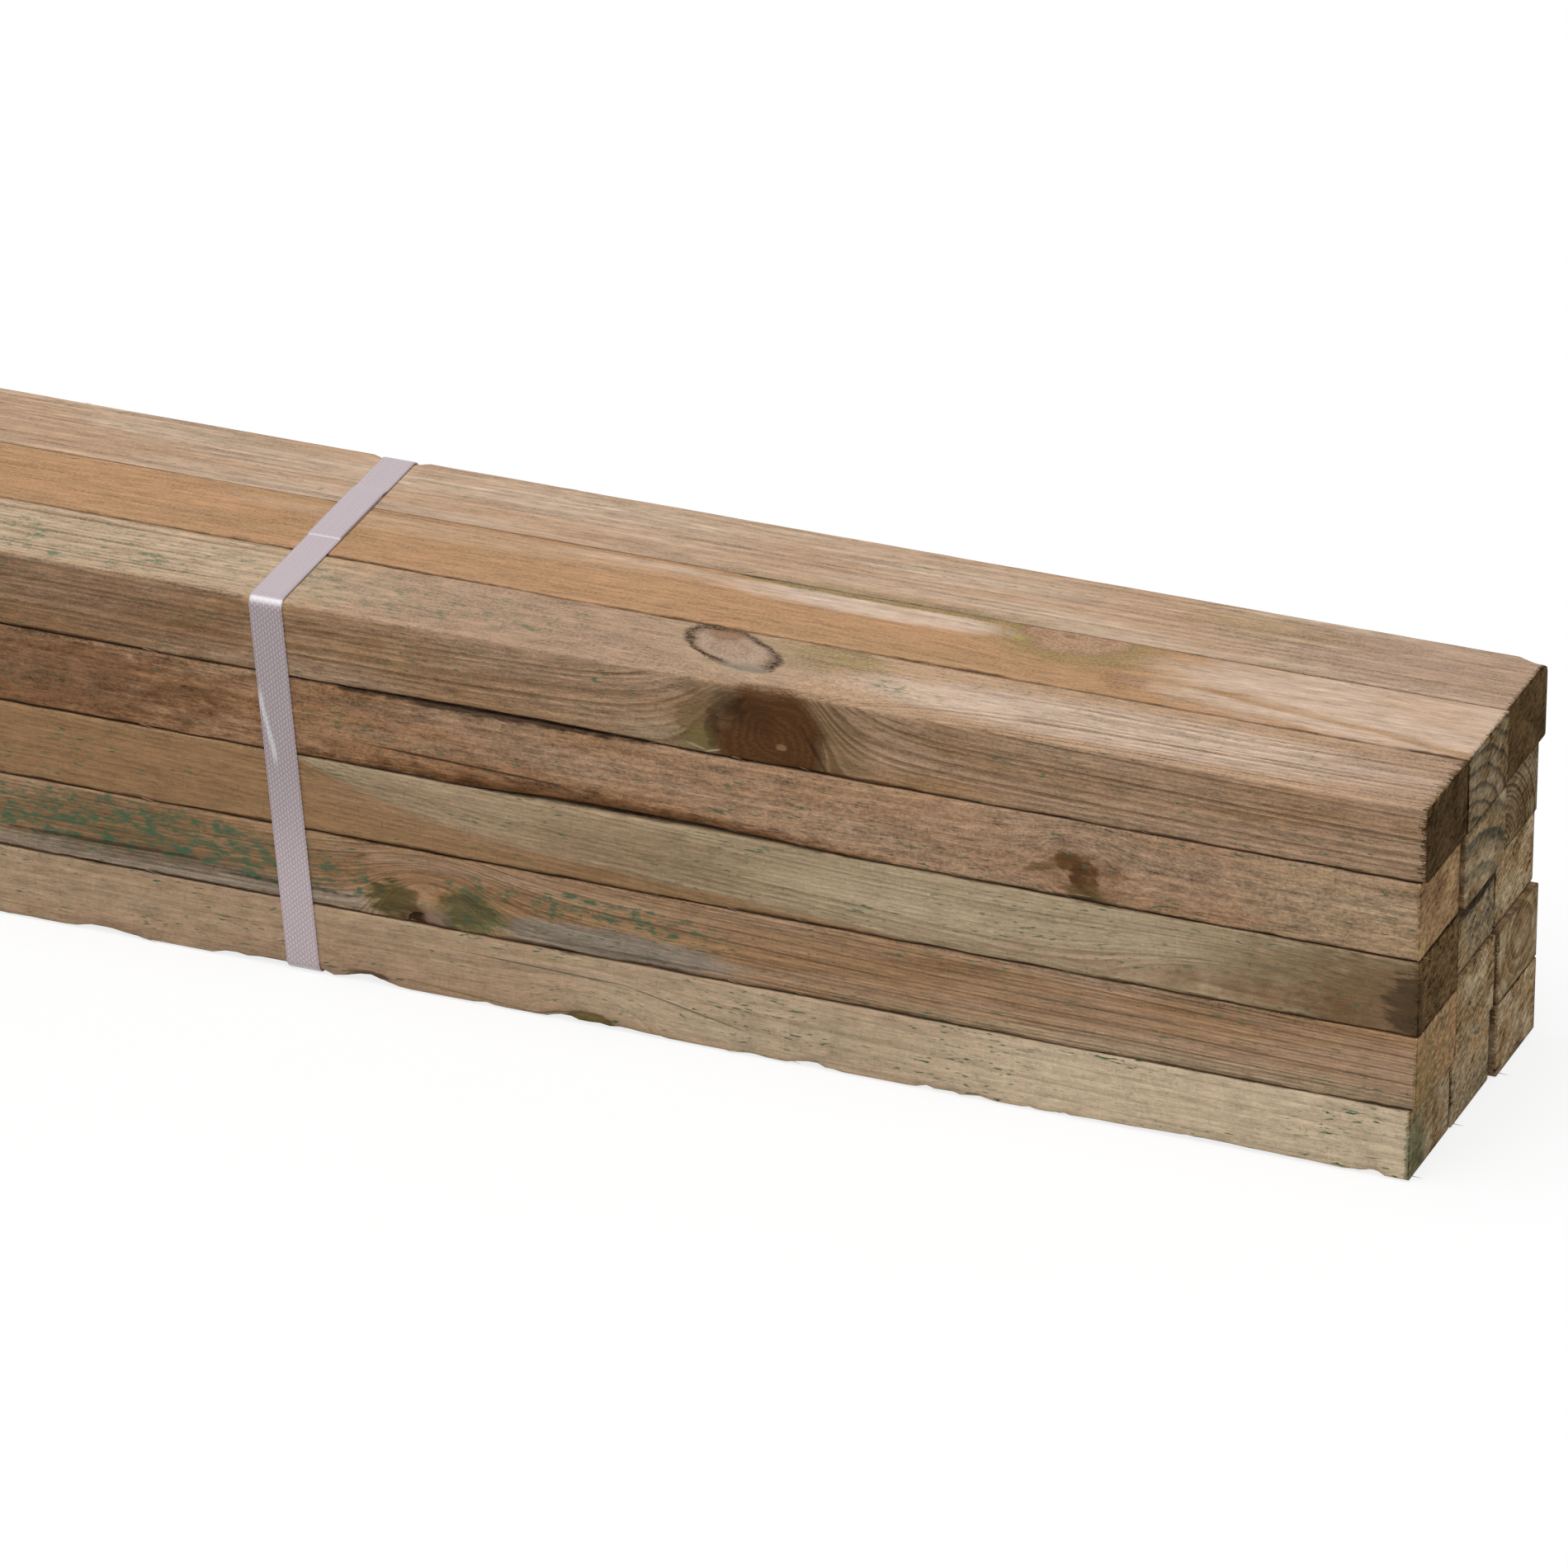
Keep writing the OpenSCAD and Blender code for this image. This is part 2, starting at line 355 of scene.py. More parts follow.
STUD_LOOKS = {
    "stud_row1_front": dict(
        tone="brown", second="tan", top="tan", top_share=0.85, pith=(60, -75), pitch=2.0, waver=4.0,
        lines=0.95, mottle=0.8, flecks=0.8, fuzz=1.1, torn=0.3, end="umber", end_second="umber",
        end_share=0.48, crumble=34.0,
        knots=(
            dict(face="front", along=310, across=-6, half_along=27, half_across=25,
                 flow=(308, -26, 25, 43, 36), crowd=0.0, fan=1.0, second_share=0.1, rim=0.15, halo="umber",
                 halo_share=0.65, rings=6.0, ring_share=0.3, tilt=0.3, rough=0.3, lump=0.5, soft=0.1,
                 grit=0.3, dark=0.78),
            dict(face="top", along=342, across=6.8, half_along=26, half_across=13.5, flow=(342, 7, 9, 6, 9),
                 core="ash", second="pale", second_share=0.25, rim=1.0, halo="olive", halo_share=0.3,
                 rings=2.0, ring_share=0.12, tilt=0.436, rough=0.3, lump=0.3)),
        stains=(
            (300, 12, 19, 32, 14, 6, "moss", 0.65, 1.0), (287, 5, 19, 7, 3, 4, "orange", 0.6, 0.8),
            (358, -25, -13, 26, 6, 7, "olive", 0.6, 0.9), (346, -25, -14, 12, 6, 7, "moss", 0.7, 0.9),
            (140, -2, 19, 150, 18, 5, "bleach", 0.95, 0.8), (660, 0, 19, 170, 30, 5, "cream", 0.85, 0.9),
            (680, 0, 19, 150, 30, 5, "pale", 0.5, 0.9), (425, 0, 19, 130, 34, 5, "ash", 0.55, 0.8),
            (10, 0, 19, 60, 30, 5, "ash", 0.4, 0.9), (345, -25, -2, 11, 5, 13, "umber", 0.6, 1.2),
            (690, -25, 0, 150, 5, 26, "bark", 0.45, 0.8), (460, -25, 0, 110, 5, 26, "tan", 0.25, 0.8),
            (268, -25, 4, 34, 6, 22, "tan", 0.6, 0.6)),
        drench=(
            (500, 0, 19, 120, 22, 6, 0.45), (262, -2, 19, 20, 7, 5, 0.5), (650, 0, 19, 90, 22, 6, 0.5),
            (120, 2, 19, 110, 12, 6, 0.25)),
        plain=((420, 0, 19, 185, 40, 6, 0.85), (230, 8, 19, 60, 14, 6, 0.7)),
        marks=(
            (305, -25, -9, 2.8, 4, 1.8, "orange", 0.55, 0.4), (318, -25, 4, 12, 4, 9, "rim", 0.25, 1.2),
            (331, -25, 7, 9, 4, 8, "rim", 0.4, 1.5), (312, -25, 17, 20, 4, 3.5, "heart", 0.4, 1.0),
            (289, -25, -8, 8, 4, 2.2, "rim", 0.5, 0.7, 1.7), (343, -25, -11, 8, 4, 7, "moss", 0.6, 1.3),
            (338, -25, -6, 4, 4, 9, "rim", 0.45, 1.4), (346, -25, -16, 5, 4, 0.7, "olive", 0.8, 0.5, 0.25),
            (338, -25, -17, 4, 4, 0.6, "cream", 0.8, 0.5, -0.3), (330, -8, 19, 11, 5, 4, "grey", 0.55, 0.9),
            (350, 18, 19, 9, 5, 4, "bark", 0.55, 1.0)),
        wanes=((-1, -1, 432, 95, 1.5),)),
    "stud_row2_front": dict(
        tone="tan", second="orange", pith=(25, -120), pitch=4.2, lines=0.4, mottle=1.3, flecks=0.9,
        fuzz=1.6, torn=0.7, streak=1.2, end="brown", end_second="end", end_share=1.08, saw=1.4,
        knots=(
            dict(face="front", along=160, across=-8, half_along=9, half_across=11,
                 flow=(160, -8, 16, 15, 16), crowd=3.0, shown=0.0),),
        stains=(
            (700, -25, 0, 140, 8, 28, "bark", 0.8, 0.8), (500, -25, 0, 110, 8, 28, "bark", 0.28, 0.8),
            (190, -25, 2, 200, 8, 22, "tan", 0.5, 0.9), (400, -25, -20, 135, 9, 9, "bark", 1.0, 0.9),
            (395, -25, -21, 122, 9, 6, "heart", 0.7, 1.2), (30, -25, 0, 60, 8, 28, "cream", 0.45, 0.9),
            (160, -25, -7, 24, 5, 15, "bark", 0.45, 1.2),
            (175, -25, -5, 14, 5, 2.4, "umber", 0.7, 1.0, -0.4),
            (164, -25, -1.5, 9, 5, 4.5, "umber", 1.0, 1.0), (158, -25, -8, 7, 5, 9, "heart", 0.85, 1.3),
            (158, -25, -16, 11, 5, 5, "umber", 0.95, 1.1), (160, -25, -6, 5, 5, 7, "rim", 0.5, 1.4)),
        marks=(
            (395, -25, -21.5, 126, 3, 2.2, "rim", 0.7, 1.1),
            (445, -25, 20.5, 105, 4, 3.2, "rim", 0.85, 0.9),
            (455, -25, -9, 56, 3, 0.7, "rim", 0.75, 0.3, 0.03),
            (164, -25, -1, 10, 5, 4.5, "heart", 0.8, 1.7), (158, -25, -9, 6, 5, 8, "heart", 0.4, 1.9)),
        wanes=((-1, -1, 360, 100, 3.0),)),
    "stud_row3_front": dict(
        tone="cream", second="olive", pith=(20, -80), drift=(0.0, 0.07), pitch=1.9, lines=0.6, streak=0.6,
        fibre=0.6, mottle=0.6, flecks=0.8, line_tone="umber", end="umber", end_second="umber",
        end_share=0.8, speckle=3.4, crumble=42.0, border=(397, 135, -9, 24, "brown"),
        knots=(
            dict(face="front", along=70, across=-20, half_along=9, half_across=9,
                 flow=(70, -24, 75, 24, 75), crowd=0.0, shown=0.0),),
        marks=(
            (4, -25, -5, 13, 6, 17, "rim", 0.55, 1.7), (75, -25, -12, 40, 6, 1.2, "bark", 0.4, 0.5, 0.05)),
        stains=(
            (690, -25, -2, 150, 30, 28, "bark", 0.1, 0.7), (60, -25, -10, 150, 10, 7, "tan", 0.6, 0.8),
            (375, -25, 2, 60, 10, 15, "umber", 0.3, 0.8), (430, -25, 6, 100, 10, 18, "tan", 0.3, 0.8),
            (190, -25, 4, 110, 10, 16, "chalk", 0.3, 0.9), (0, -25, -4, 105, 30, 34, "umber", 0.55, 0.6),
            (0, -25, -8, 60, 30, 30, "heart", 0.5, 0.8))),
    "stud_row4_front": dict(
        tone="brown", second="tan", pith=(30, -80), drift=(0.0, 0.02), pitch=1.5, lines=1.0, flecks=0.9,
        streak=1.3, end_share=1.12, end_second="brown",
        knots=(
            dict(face="front", along=480, across=-17, half_along=5, half_across=4,
                 flow=(474, -20, 24, 22, 24), core="rim", second="heart", rim=0.9, halo="heart",
                 halo_share=0.5, crowd=3.0),),
        stains=(
            (478, -25, 2, 62, 12, 10, "orange", 0.6, 0.8), (604, -25, -14, 112, 10, 8, "grey", 0.9, 0.7),
            (385, -25, -12, 64, 10, 9, "grey", 1.0, 0.8), (493, -25, -9, 13, 10, 10, "moss", 0.95, 0.9),
            (455, -25, -9, 20, 10, 12, "moss", 0.85, 1.2), (110, -25, -15, 170, 8, 5, "cream", 0.6, 0.8),
            (615, -25, 2, 110, 10, 15, "umber", 0.55, 0.9)),
        drench=(
            (625, -25, 4, 125, 9, 15, 0.9), (400, -25, 4, 85, 8, 9, 0.7), (456, -25, -10, 16, 8, 9, 0.5),
            (540, -25, -6, 40, 8, 8, 0.8)),
        plain=((385, -25, -12, 64, 10, 9, 0.5),),
        marks=(
            (471, -25, -15, 7, 8, 5, "ash", 0.75, 0.5),
            (640, -25, -7.5, 55, 8, 1.3, "rim", 0.6, 0.9, -0.02),
            (545, -25, -11, 34, 8, 1.2, "rim", 0.55, 0.9), (385, -25, -15, 50, 8, 0.9, "rim", 0.4, 0.9),
            (491, -25, -9, 13, 10, 10, "rim", 0.45, 1.7), (454, -25, -10, 16, 8, 9, "green", 0.25, 2.4),
            (458, -25, -8, 14, 8, 9, "rim", 0.3, 2.4), (0, -22, -6, 2, 18, 22, "moss", 0.35, 1.2))),
    "stud_row5_front": dict(
        tone="cream", second="tan", pith=(-20, 60), drift=(0.0, 0.03), pitch=4.0, lines=0.3,
        line_tone="moss", flecks=1.1, streak=0.5, fibre=0.5, mottle=0.9, ragged=2.8, end_share=1.0,
        knots=(
            dict(face="front", along=394, across=-16.5, half_along=12, half_across=5,
                 flow=(394, -20, 26, 15, 26), core="moss", second="umber", rim=0.3, halo="moss",
                 halo_share=0.3, ring_share=0.12, crowd=2.5),),
        stains=(
            (150, -25, 0, 300, 20, 30, "chalk", 0.4, 0.8), (50, -25, 0, 190, 20, 32, "chalk", 0.95, 0.7),
            (600, -25, 0, 190, 10, 28, "tan", 0.65, 0.8)),
        marks=(
            # The dark mark 504 from the end is painted shade round the notch in the lower edge
            (0, -20, -10, 3, 16, 26, "green", 0.5, 1.8), (504, -25, -14.5, 11, 5, 2.6, "rim", 0.6, 0.6),
            (415, -25, 7, 46, 5, 0.5, "slate", 0.75, 0.3, 0.023),
            (348, -25, 0.2, 34, 5, 0.5, "slate", 0.75, 0.3, 0.205),
            (455, -25, -14.5, 34, 5, 0.5, "moss", 0.7, 0.3, 0.07),
            (412, -25, -15, 16, 5, 0.5, "slate", 0.7, 0.3, -0.25)),
        wanes=((-1, -1, 98, 75, 1.8), (-1, -1, 506, 12, 4.4))),
    "stud_row1_middle": dict(
        tone="orange", second="brown", pith=(14, -46), drift=(0.03, 0.0), taper=0.055, pitch=6.0, late=0.45,
        lines=1.1, line_tone="brown", flecks=0.3, fuzz=0.6, torn=0.2, end="end", end_share=0.66,
        end_rings=0.8, end_tone="slate", end_pith=(-26, -44, 8.0), tight=(1, 1),
        knots=(
            dict(face="top", along=203, across=25, half_along=25, half_across=20,
                 flow=(203, 26, 26, 20, 26), core="bark", second="tan", second_share=0.6, rim=0.1,
                 halo="moss", halo_share=0.6, rough=0.9, ring_share=0.12, grit=0.6),),
        stains=(
            (302, 15, 19, 78, 8.5, 8, "bleach", 1.0, 0.4), (410, 18.5, 19, 60, 3.4, 8, "bleach", 0.7, 0.5),
            (500, 14, 19, 120, 8, 8, "tan", 0.7, 0.8), (50, 2, 19, 120, 30, 10, "bleach", 0.85, 0.6),
            (300, 24, 19, 80, 3.5, 8, "moss", 0.85, 1.0), (170, -6, 19, 14, 12, 8, "bark", 0.5, 1.2)),
        plain=((430, 0, 19, 230, 40, 8, 0.7),),
        marks=(
            (228, 12, 19, 4, 1.6, 6, "lichen", 0.55, 0.6), (207, 21, 19, 3, 1.8, 4, "umber", 0.6, 0.3),
            (359, 24.4, 19, 9, 1.0, 5, "rim", 0.8, 0.5))),
    "stud_row2_middle": dict(
        tone="olive", pith=(-24, -62), pitch=13.0, waver=2.0, end="end", end_share=0.9, end_rings=1.2,
        end_tone="slate", saw=1.2),
    "stud_row3_middle": dict(
        tone="grey", pith=(-20, -40), pitch=3.0, end="olive", end_second="end", end_share=0.82,
        end_tone="slate", saw=3.4,
        # The mark is a painted shadow: a dark band across the top of the end, under the overhanging stud above
        marks=((0, 0, 15, 4, 34, 8, "rim", 0.85, 0.5),)),
    "stud_row4_middle": dict(pith=(40, 40), end_share=1.0, saw=3.0, bow=1.6),
    "stud_row5_middle": dict(
        pith=(-30, -50), end="olive", end_second="end", end_share=1.1, end_rings=0.3, saw=2.6, bow=1.4),
    "stud_row1_back": dict(
        tone="tan", second="pale", pith=(-70, -40), pitch=3.0, lines=0.7, line_tone="ash", streak=1.4,
        end="umber", end_second="umber", end_share=0.62, fuzz=0.7, torn=0.2, tight=(-1, 1),
        stains=(
            (300, -23, 19, 90, 3, 8, "moss", 0.5, 1.0), (20, 0, 19, 110, 30, 8, "ash", 0.6, 0.8),
            (130, 10, 19, 40, 12, 8, "moss", 0.35, 1.2)),
        wanes=((1, 1, 0, 14, 3.0),)),
    "stud_row2_back": dict(
        tone="tan", second="grey", pith=(-27, -22), pitch=2.6, waver=2.0, end="end", end_share=0.62,
        end_rings=1.5, end_tone="umber"),
    "stud_row3_back": dict(tone="brown", pith=(-30, 60), end_share=1.05, speckle=3.2, saw=2.6),
    "stud_row4_back": dict(
        tone="tan", pith=(4, 4), pitch=7.0, waver=9.0, end_share=0.95, end_rings=0.8, speckle=1.6),
    "stud_row5_back": dict(tone="tan", second="olive", pith=(50, -40), end_share=1.08, saw=3.0),
}
# Knots on the rest of the outer faces: (face, from the end, across, half along, half across)
FURTHER_KNOTS = {
    "stud_row1_front": (("top", 1180, -7, 13, 9), ("front", 1530, 5, 15, 11), ("front", 2080, -6, 9, 7)),
    "stud_row2_front": (("front", 905, 6, 11, 9), ("front", 1420, -9, 17, 12), ("front", 1990, 4, 8, 7)),
    "stud_row3_front": (("front", 1100, -5, 14, 10), ("front", 1720, 8, 10, 8), ("front", 2210, -2, 12, 9)),
    "stud_row4_front": (("front", 860, 9, 9, 7), ("front", 1350, -3, 16, 12), ("front", 1900, 7, 11, 8)),
    "stud_row5_front": (("front", 1010, 4, 12, 9), ("front", 1590, -7, 10, 8), ("bottom", 700, 8, 13, 10)),
    "stud_row1_middle": (("top", 930, -6, 12, 9), ("top", 1500, 9, 17, 12), ("top", 2100, -3, 9, 8)),
    "stud_row5_middle": (("bottom", 900, 5, 14, 10), ("bottom", 1650, -9, 11, 9)),
    "stud_row1_back": (("top", 1390, 6, 14, 10), ("top", 1960, -8, 10, 8), ("back", 430, -4, 13, 9),
                       ("back", 1120, 7, 10, 8), ("back", 1750, -2, 16, 11)),
    "stud_row2_back": (("back", 260, 5, 11, 8), ("back", 1330, -6, 15, 11), ("back", 2000, 2, 9, 7)),
    "stud_row3_back": (("back", 520, -3, 14, 10), ("back", 1180, 6, 9, 8), ("back", 1800, -7, 12, 9)),
    "stud_row4_back": (("back", 180, 4, 10, 8), ("back", 950, -5, 16, 12), ("back", 2150, 3, 12, 9)),
    "stud_row5_back": (("back", 640, 6, 12, 9), ("back", 1290, -4, 10, 8), ("bottom", 1700, 7, 15, 11)),
}


def further_knot(order, place, row, side):
    """A knot that the photo doesn't show. Its order, row and side vary its size, shape and tones."""
    face, along, across, half_along, half_across = place
    turn = (order + 2 * row + side) % 3
    half_along *= (0.7, 1.0, 1.9)[turn]
    half_across *= (0.55, 1.0, 1.3)[turn]
    return dict(
        PLAIN_KNOT, face=face, along=along, across=across, half_along=half_along, half_across=half_across,
        flow=(along, across, 1.5 * half_along, 1.3 * half_across, 1.5 * half_along),
        core=("heart", "bark", "brown")[(order + row) % 3], halo=("olive", "moss", "bark")[order % 3],
        dark=(1.0, 0.75, 0.9)[order % 3], rim=0.3 + 0.3 * (order % 2), tilt=0.2 * order - 0.2,
        halo_share=0.6, ring_share=0.35, rough=0.8, lump=0.9, soft=0.12)


def stud_look(name, pine):
    """One stud's look, with its sizes in millimetres."""
    row_text, column_name = name.removeprefix("stud_row").split("_")
    row, column = int(row_text), COLUMNS.index(column_name)
    low, high = (np.array(corner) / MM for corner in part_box(name))
    size, middle = (high - low).tolist(), ((low + high) / 2).tolist()
    slope = math.tan(pine.end_skew)
    sawn_length = size[0] - size[1] * slope
    look = {**PLAIN_STUD, **STUD_LOOKS[name]}
    look.update(
        name=name, row=row, column=column, middle=middle, length=sawn_length, width=size[1], height=size[2],
        slope=slope, end_x=middle[0] + sawn_length / 2, seed=SEED_STEP * sorted(STUD_LOOKS).index(name))
    side, face = column - 1, {1: 1, ROWS: -1}.get(row, 0)
    look["knots"] = [{**PLAIN_KNOT, **knot} for knot in look["knots"]]
    for order, place in enumerate(FURTHER_KNOTS.get(name, ())):
        look["knots"].append(further_knot(order, place, row, side))
    if side or face:
        # Stains and preservative on the outer face, beyond what the photo shows
        start, over, up = 860 + 113 * row, side * size[1] / 2, (0 if side else face) * size[2] / 2
        look["stains"] += ((start + 420, over, up, 190, 26, 20, "olive", 0.5, 0.9),
                           (start + 900, over, up, 150, 26, 20, "grey", 0.45, 0.9))
        look["drench"] += ((start, over, up, 150, 20, 16, 0.8), (start + 640, over, up, 120, 20, 16, 0.6))
    return look


def knot_view(knot, look, over, up):
    """The coordinate across a knot's face, and the depth under that face."""
    if knot["face"] in ("front", "back"):
        return up, (over + look["width"] / 2 if knot["face"] == "front" else look["width"] / 2 - over)
    return over, (look["height"] / 2 - up if knot["face"] == "top" else up + look["height"] / 2)


def away_from(web, along, across, place, tilt=0.0):
    """How far out a point lies from an oval's middle, where 1 is the oval's edge."""
    a, b = along - place[0], across - place[1]
    if tilt:
        a, b = a * math.cos(tilt) + b * math.sin(tilt), b * math.cos(tilt) - a * math.sin(tilt)
    near_half, far_half = place[2], place[-1] if len(place) > 4 else place[2]
    if near_half == far_half:
        a = a / near_half
    else:
        a = web.most(a, 0.0) / far_half + web.least(a, 0.0) / near_half
    b = b / place[3]
    return web.root(web.most(a * a + b * b, 1e-3))


class PineWood:
    """One stud's wood in the log's own coordinates, while its material is wired up."""

    def __init__(self, look, pine):
        self.look = look
        self.material, self.web, self.shader = plain_material("pine " + look["name"].replace("_", " "))
        settings = {key: getattr(pine, key) for key in PineSettings.__annotations__}
        self.tint = {key: tuple(value) for key, value in settings.items() if hasattr(value, "__len__")}
        x, y, z = self.web.parts(self.web.take("ShaderNodeTexCoord", output="Object"))
        self.over = y * PER_METRE - look["middle"][1]
        self.up = z * PER_METRE - look["middle"][2]
        self.along = self.over * look["slope"] + look["end_x"] - x * PER_METRE
        self.lead_grain()
        self.cloud = self.field(130.0, 17.0, "along", 2.0)
        self.blot = self.field(14.0, 5.0, "-along", 3.0, 0.6)
        self.waver = self.field(190.0, 30.0, "-along")
        self.ripple = self.field(34.0, 5.0, "over", grain=self.grain)
        self.streak = self.field(75.0, 2.6, "-up", 3.0, 0.6, self.fine)
        self.fibre = self.field(11.0, 0.85, "up", 2.0, 0.6, self.fine)
        self.fuzz = self.field(1.7, 1.1, "over", 2.0, 0.7)
        self.fleck = self.field(6.0, 1.1, "along", grain=self.fine)
        self.torn = self.field(1.1, 6.0, "-up")
        self.lump = self.field(17.0, 17.0, "over")
        self.pores = self.web.noise(
            self.along / 3.0, self.over / 3.6, self.up / 2.2 + look["seed"], 4.0, 0.64)
        self.late = self.rings()
        frayed = self.web.most(self.fibre * 0.6 + self.fuzz * 0.4 - 0.47, 0.0) * look["crumble"]
        at_near_end = self.web.ease(self.along - frayed, 1.5, 1.0)
        at_far_end = self.web.ease(self.along + frayed, look["length"] - 1.5, look["length"] - 1.0)
        self.at_end = self.web.most(at_near_end, at_far_end)

    def field(self, size_along, size_across, shift, detail=1.0, roughness=0.5, grain=None):
        """Noise of these sizes, which the stud's seed shifts on one axis, or back on it after a minus."""
        grain = grain or {"over": self.over, "up": self.up}
        place = {"along": self.along / size_along}
        place.update({axis: value / size_across for axis, value in grain.items()})
        axis = shift.removeprefix("-")
        place[axis] = place[axis] + self.look["seed"] * (1 if axis == shift else -1)
        return self.web.noise(*place.values(), detail, roughness)

    def within(self, spot, ragged, up=None):
        """1 inside an ellipsoid (from the end, across, up, three half sizes, ...), and 0 outside."""
        point = (self.along, self.over, up or self.up)
        a, b, c = ((value - middle) / half for value, middle, half in zip(point, spot[:3], spot[3:6]))
        return self.web.ease(a * a + b * b + c * c + ragged, 1.35, 0.4)

    def lead_grain(self):
        """Leads the grain round the knots, where its rings crowd. Fine fibres follow it less."""
        web, look, along = self.web, self.look, self.along
        self.grain = {"over": self.over, "up": self.up}
        self.fine = dict(self.grain)
        self.crowd, self.beside = 0.0, 0.0
        for knot in look["knots"]:
            across, depth = knot_view(knot, look, self.over, self.up)
            way = "up" if knot["face"] in ("front", "back") else "over"
            flow = knot["flow"]
            far = away_from(web, along, across, flow)
            shift = (across - flow[1]) * web.least(1.0 / (far * far), 1.0)
            shift = shift * web.ease(depth, *KNOT_TURNS_GRAIN)
            self.grain[way] = self.grain[way] - shift
            self.fine[way] = self.fine[way] - shift * 0.7
            packed = web.ease(far, 1.6, 1.0) * web.ease(depth, *KNOT_CROWDS_RINGS)
            if knot["fan"]:
                past = along - flow[0]
                packed = packed * web.ease(past, 8.0, -6.0)
                beside = web.ease(far, 2.0, 1.1) * web.ease(depth, *KNOT_SHOWS)
                self.beside = beside * web.ease(past, 12.0, 0.0)
            lean = (flow[1] - look["pith"][0 if way == "over" else 1]) or 1.0
            self.crowd = self.crowd - packed * math.copysign(knot["crowd"], lean)

    def latewood(self, years):
        """The dark part of each year, which comes on slowly and ends sharply."""
        part = self.web.math("FRACT", years)
        return self.web.ease(part, self.look["late"], 0.84) * self.web.ease(part, 1.0, 0.86)

    def rings(self):
        """Rings round the log's middle, with years of uneven width and strength."""
        web, look = self.web, self.look
        out_over = self.grain["over"] - look["pith"][0] - self.along * look["drift"][0]
        out_up = self.grain["up"] - look["pith"][1] - self.along * look["drift"][1]
        radius = web.root(out_over * out_over + out_up * out_up) + self.along * look["taper"]
        radius = radius + (self.waver - 0.5) * look["waver"] + (self.ripple - 0.5) * (0.25 * look["pitch"])
        years = radius / look["pitch"] + self.crowd
        years = years + web.noise(years / 4.0, look["seed"], 0.0) * 2.4
        year = web.math("FLOOR", years)
        strength = web.take("ShaderNodeTexWhiteNoise", {"W": year}, noise_dimensions="1D")
        return self.latewood(years) * (strength * 0.75 + 0.25) * (self.ripple + 0.4)

    def ground(self):
        """The wood's two tones, and those of its upper face and of a border."""
        web, look, tint = self.web, self.look, self.tint
        tone = web.blend(web.ease(self.cloud, 0.34, 0.66), tint[look["tone"]], tint[look["second"]])
        if look["top_share"]:
            top = look["height"] / 2
            topside = web.ease(self.up, top - 2.6, top - 0.9)
            tone = web.blend(topside * look["top_share"], tone, tint[look["top"]])
        return self.bordered(tone) if look["border"] else tone

    def bordered(self, tone):
        """Another tone below a curve, and dark lines swept along that curve."""
        web = self.web
        start, reach, height, rise, below = self.look["border"]
        past = (self.along - start) / reach
        bend = web.most(past, 0.0)
        curve = bend * bend * rise + web.least(past, 0.0) * 8.0 + height
        above = self.up - curve + (self.ripple - 0.5) * 4.0
        tone = web.blend(web.ease(above, 1.8, -1.8), tone, self.tint[below])
        part = web.math("FRACT", above / 2.6 + self.blot)
        sweep = web.ease(part, 0.25, 0.8) * web.ease(part, 1.0, 0.85)
        sweep = sweep * web.ease(web.size(above - 3.0), 15.0, 5.0)
        return web.blend(sweep * 0.32, tone, self.tint["umber"])

    def stained(self, tone, stains):
        """Stains or marks, each a ragged ellipsoid."""
        for spot in stains:
            ragged = (self.blot - 0.5) * (spot[8] * 1.6) + (self.fleck - 0.5) * (spot[8] * 1.2)
            up = self.up - (self.along - spot[0]) * spot[9] if len(spot) > 9 else self.up
            tone = self.web.blend(self.within(spot, ragged, up) * spot[7], tone, self.tint[spot[6]])
        return tone

    def grained(self, tone):
        """Latewood lines, then light and dark fibres, torn grain and flecks."""
        web, look = self.web, self.look
        lines = self.late * look["lines"] * (self.beside * 1.5 + 1.0)
        for spot in look["plain"]:
            lines = lines * (1.0 - self.within(spot, (self.cloud - 0.5) * 1.2) * spot[6])
        tone = web.blend(lines, tone, self.tint[look["line_tone"]])
        shading = (self.streak - 0.5) * look["streak"] + (self.fibre - 0.5) * look["fibre"]
        shading = shading + (self.fuzz - 0.5) * (look["fuzz"] * 0.8) + 1.0
        shading = shading + (self.blot - 0.5) * look["mottle"]
        light, dark = web.ease(self.torn, 0.36, 0.24) * 0.25, web.ease(self.torn, 0.64, 0.78) * 0.4
        shading = shading + (light - dark) * look["torn"]
        shading = shading - web.ease(self.fleck, 0.36, 0.25) * 0.18
        return web.shade(tone, shading)

    def treated(self, tone):
        """Preservative left in flecks, and thick in places."""
        web, look = self.web, self.look
        patch = self.field(60.0, 13.0, "along")
        green = web.ease(self.fleck, 0.63, 0.73) * web.ease(patch, 0.40, 0.60) * look["flecks"]
        if look["drench"]:
            drops = self.field(8.0, 4.2, "over", 3.0, 0.65) * 0.7 + self.fleck * 0.3
            for spot in look["drench"]:
                wet = self.within(spot, (patch - 0.5) * 2.4) * spot[6]
                drop = web.ease(drops + wet * 0.11, 0.55, 0.70)
                green = web.most(green, drop * web.least(wet * 1.6, 0.9))
        return web.blend(green, tone, self.tint["green"])

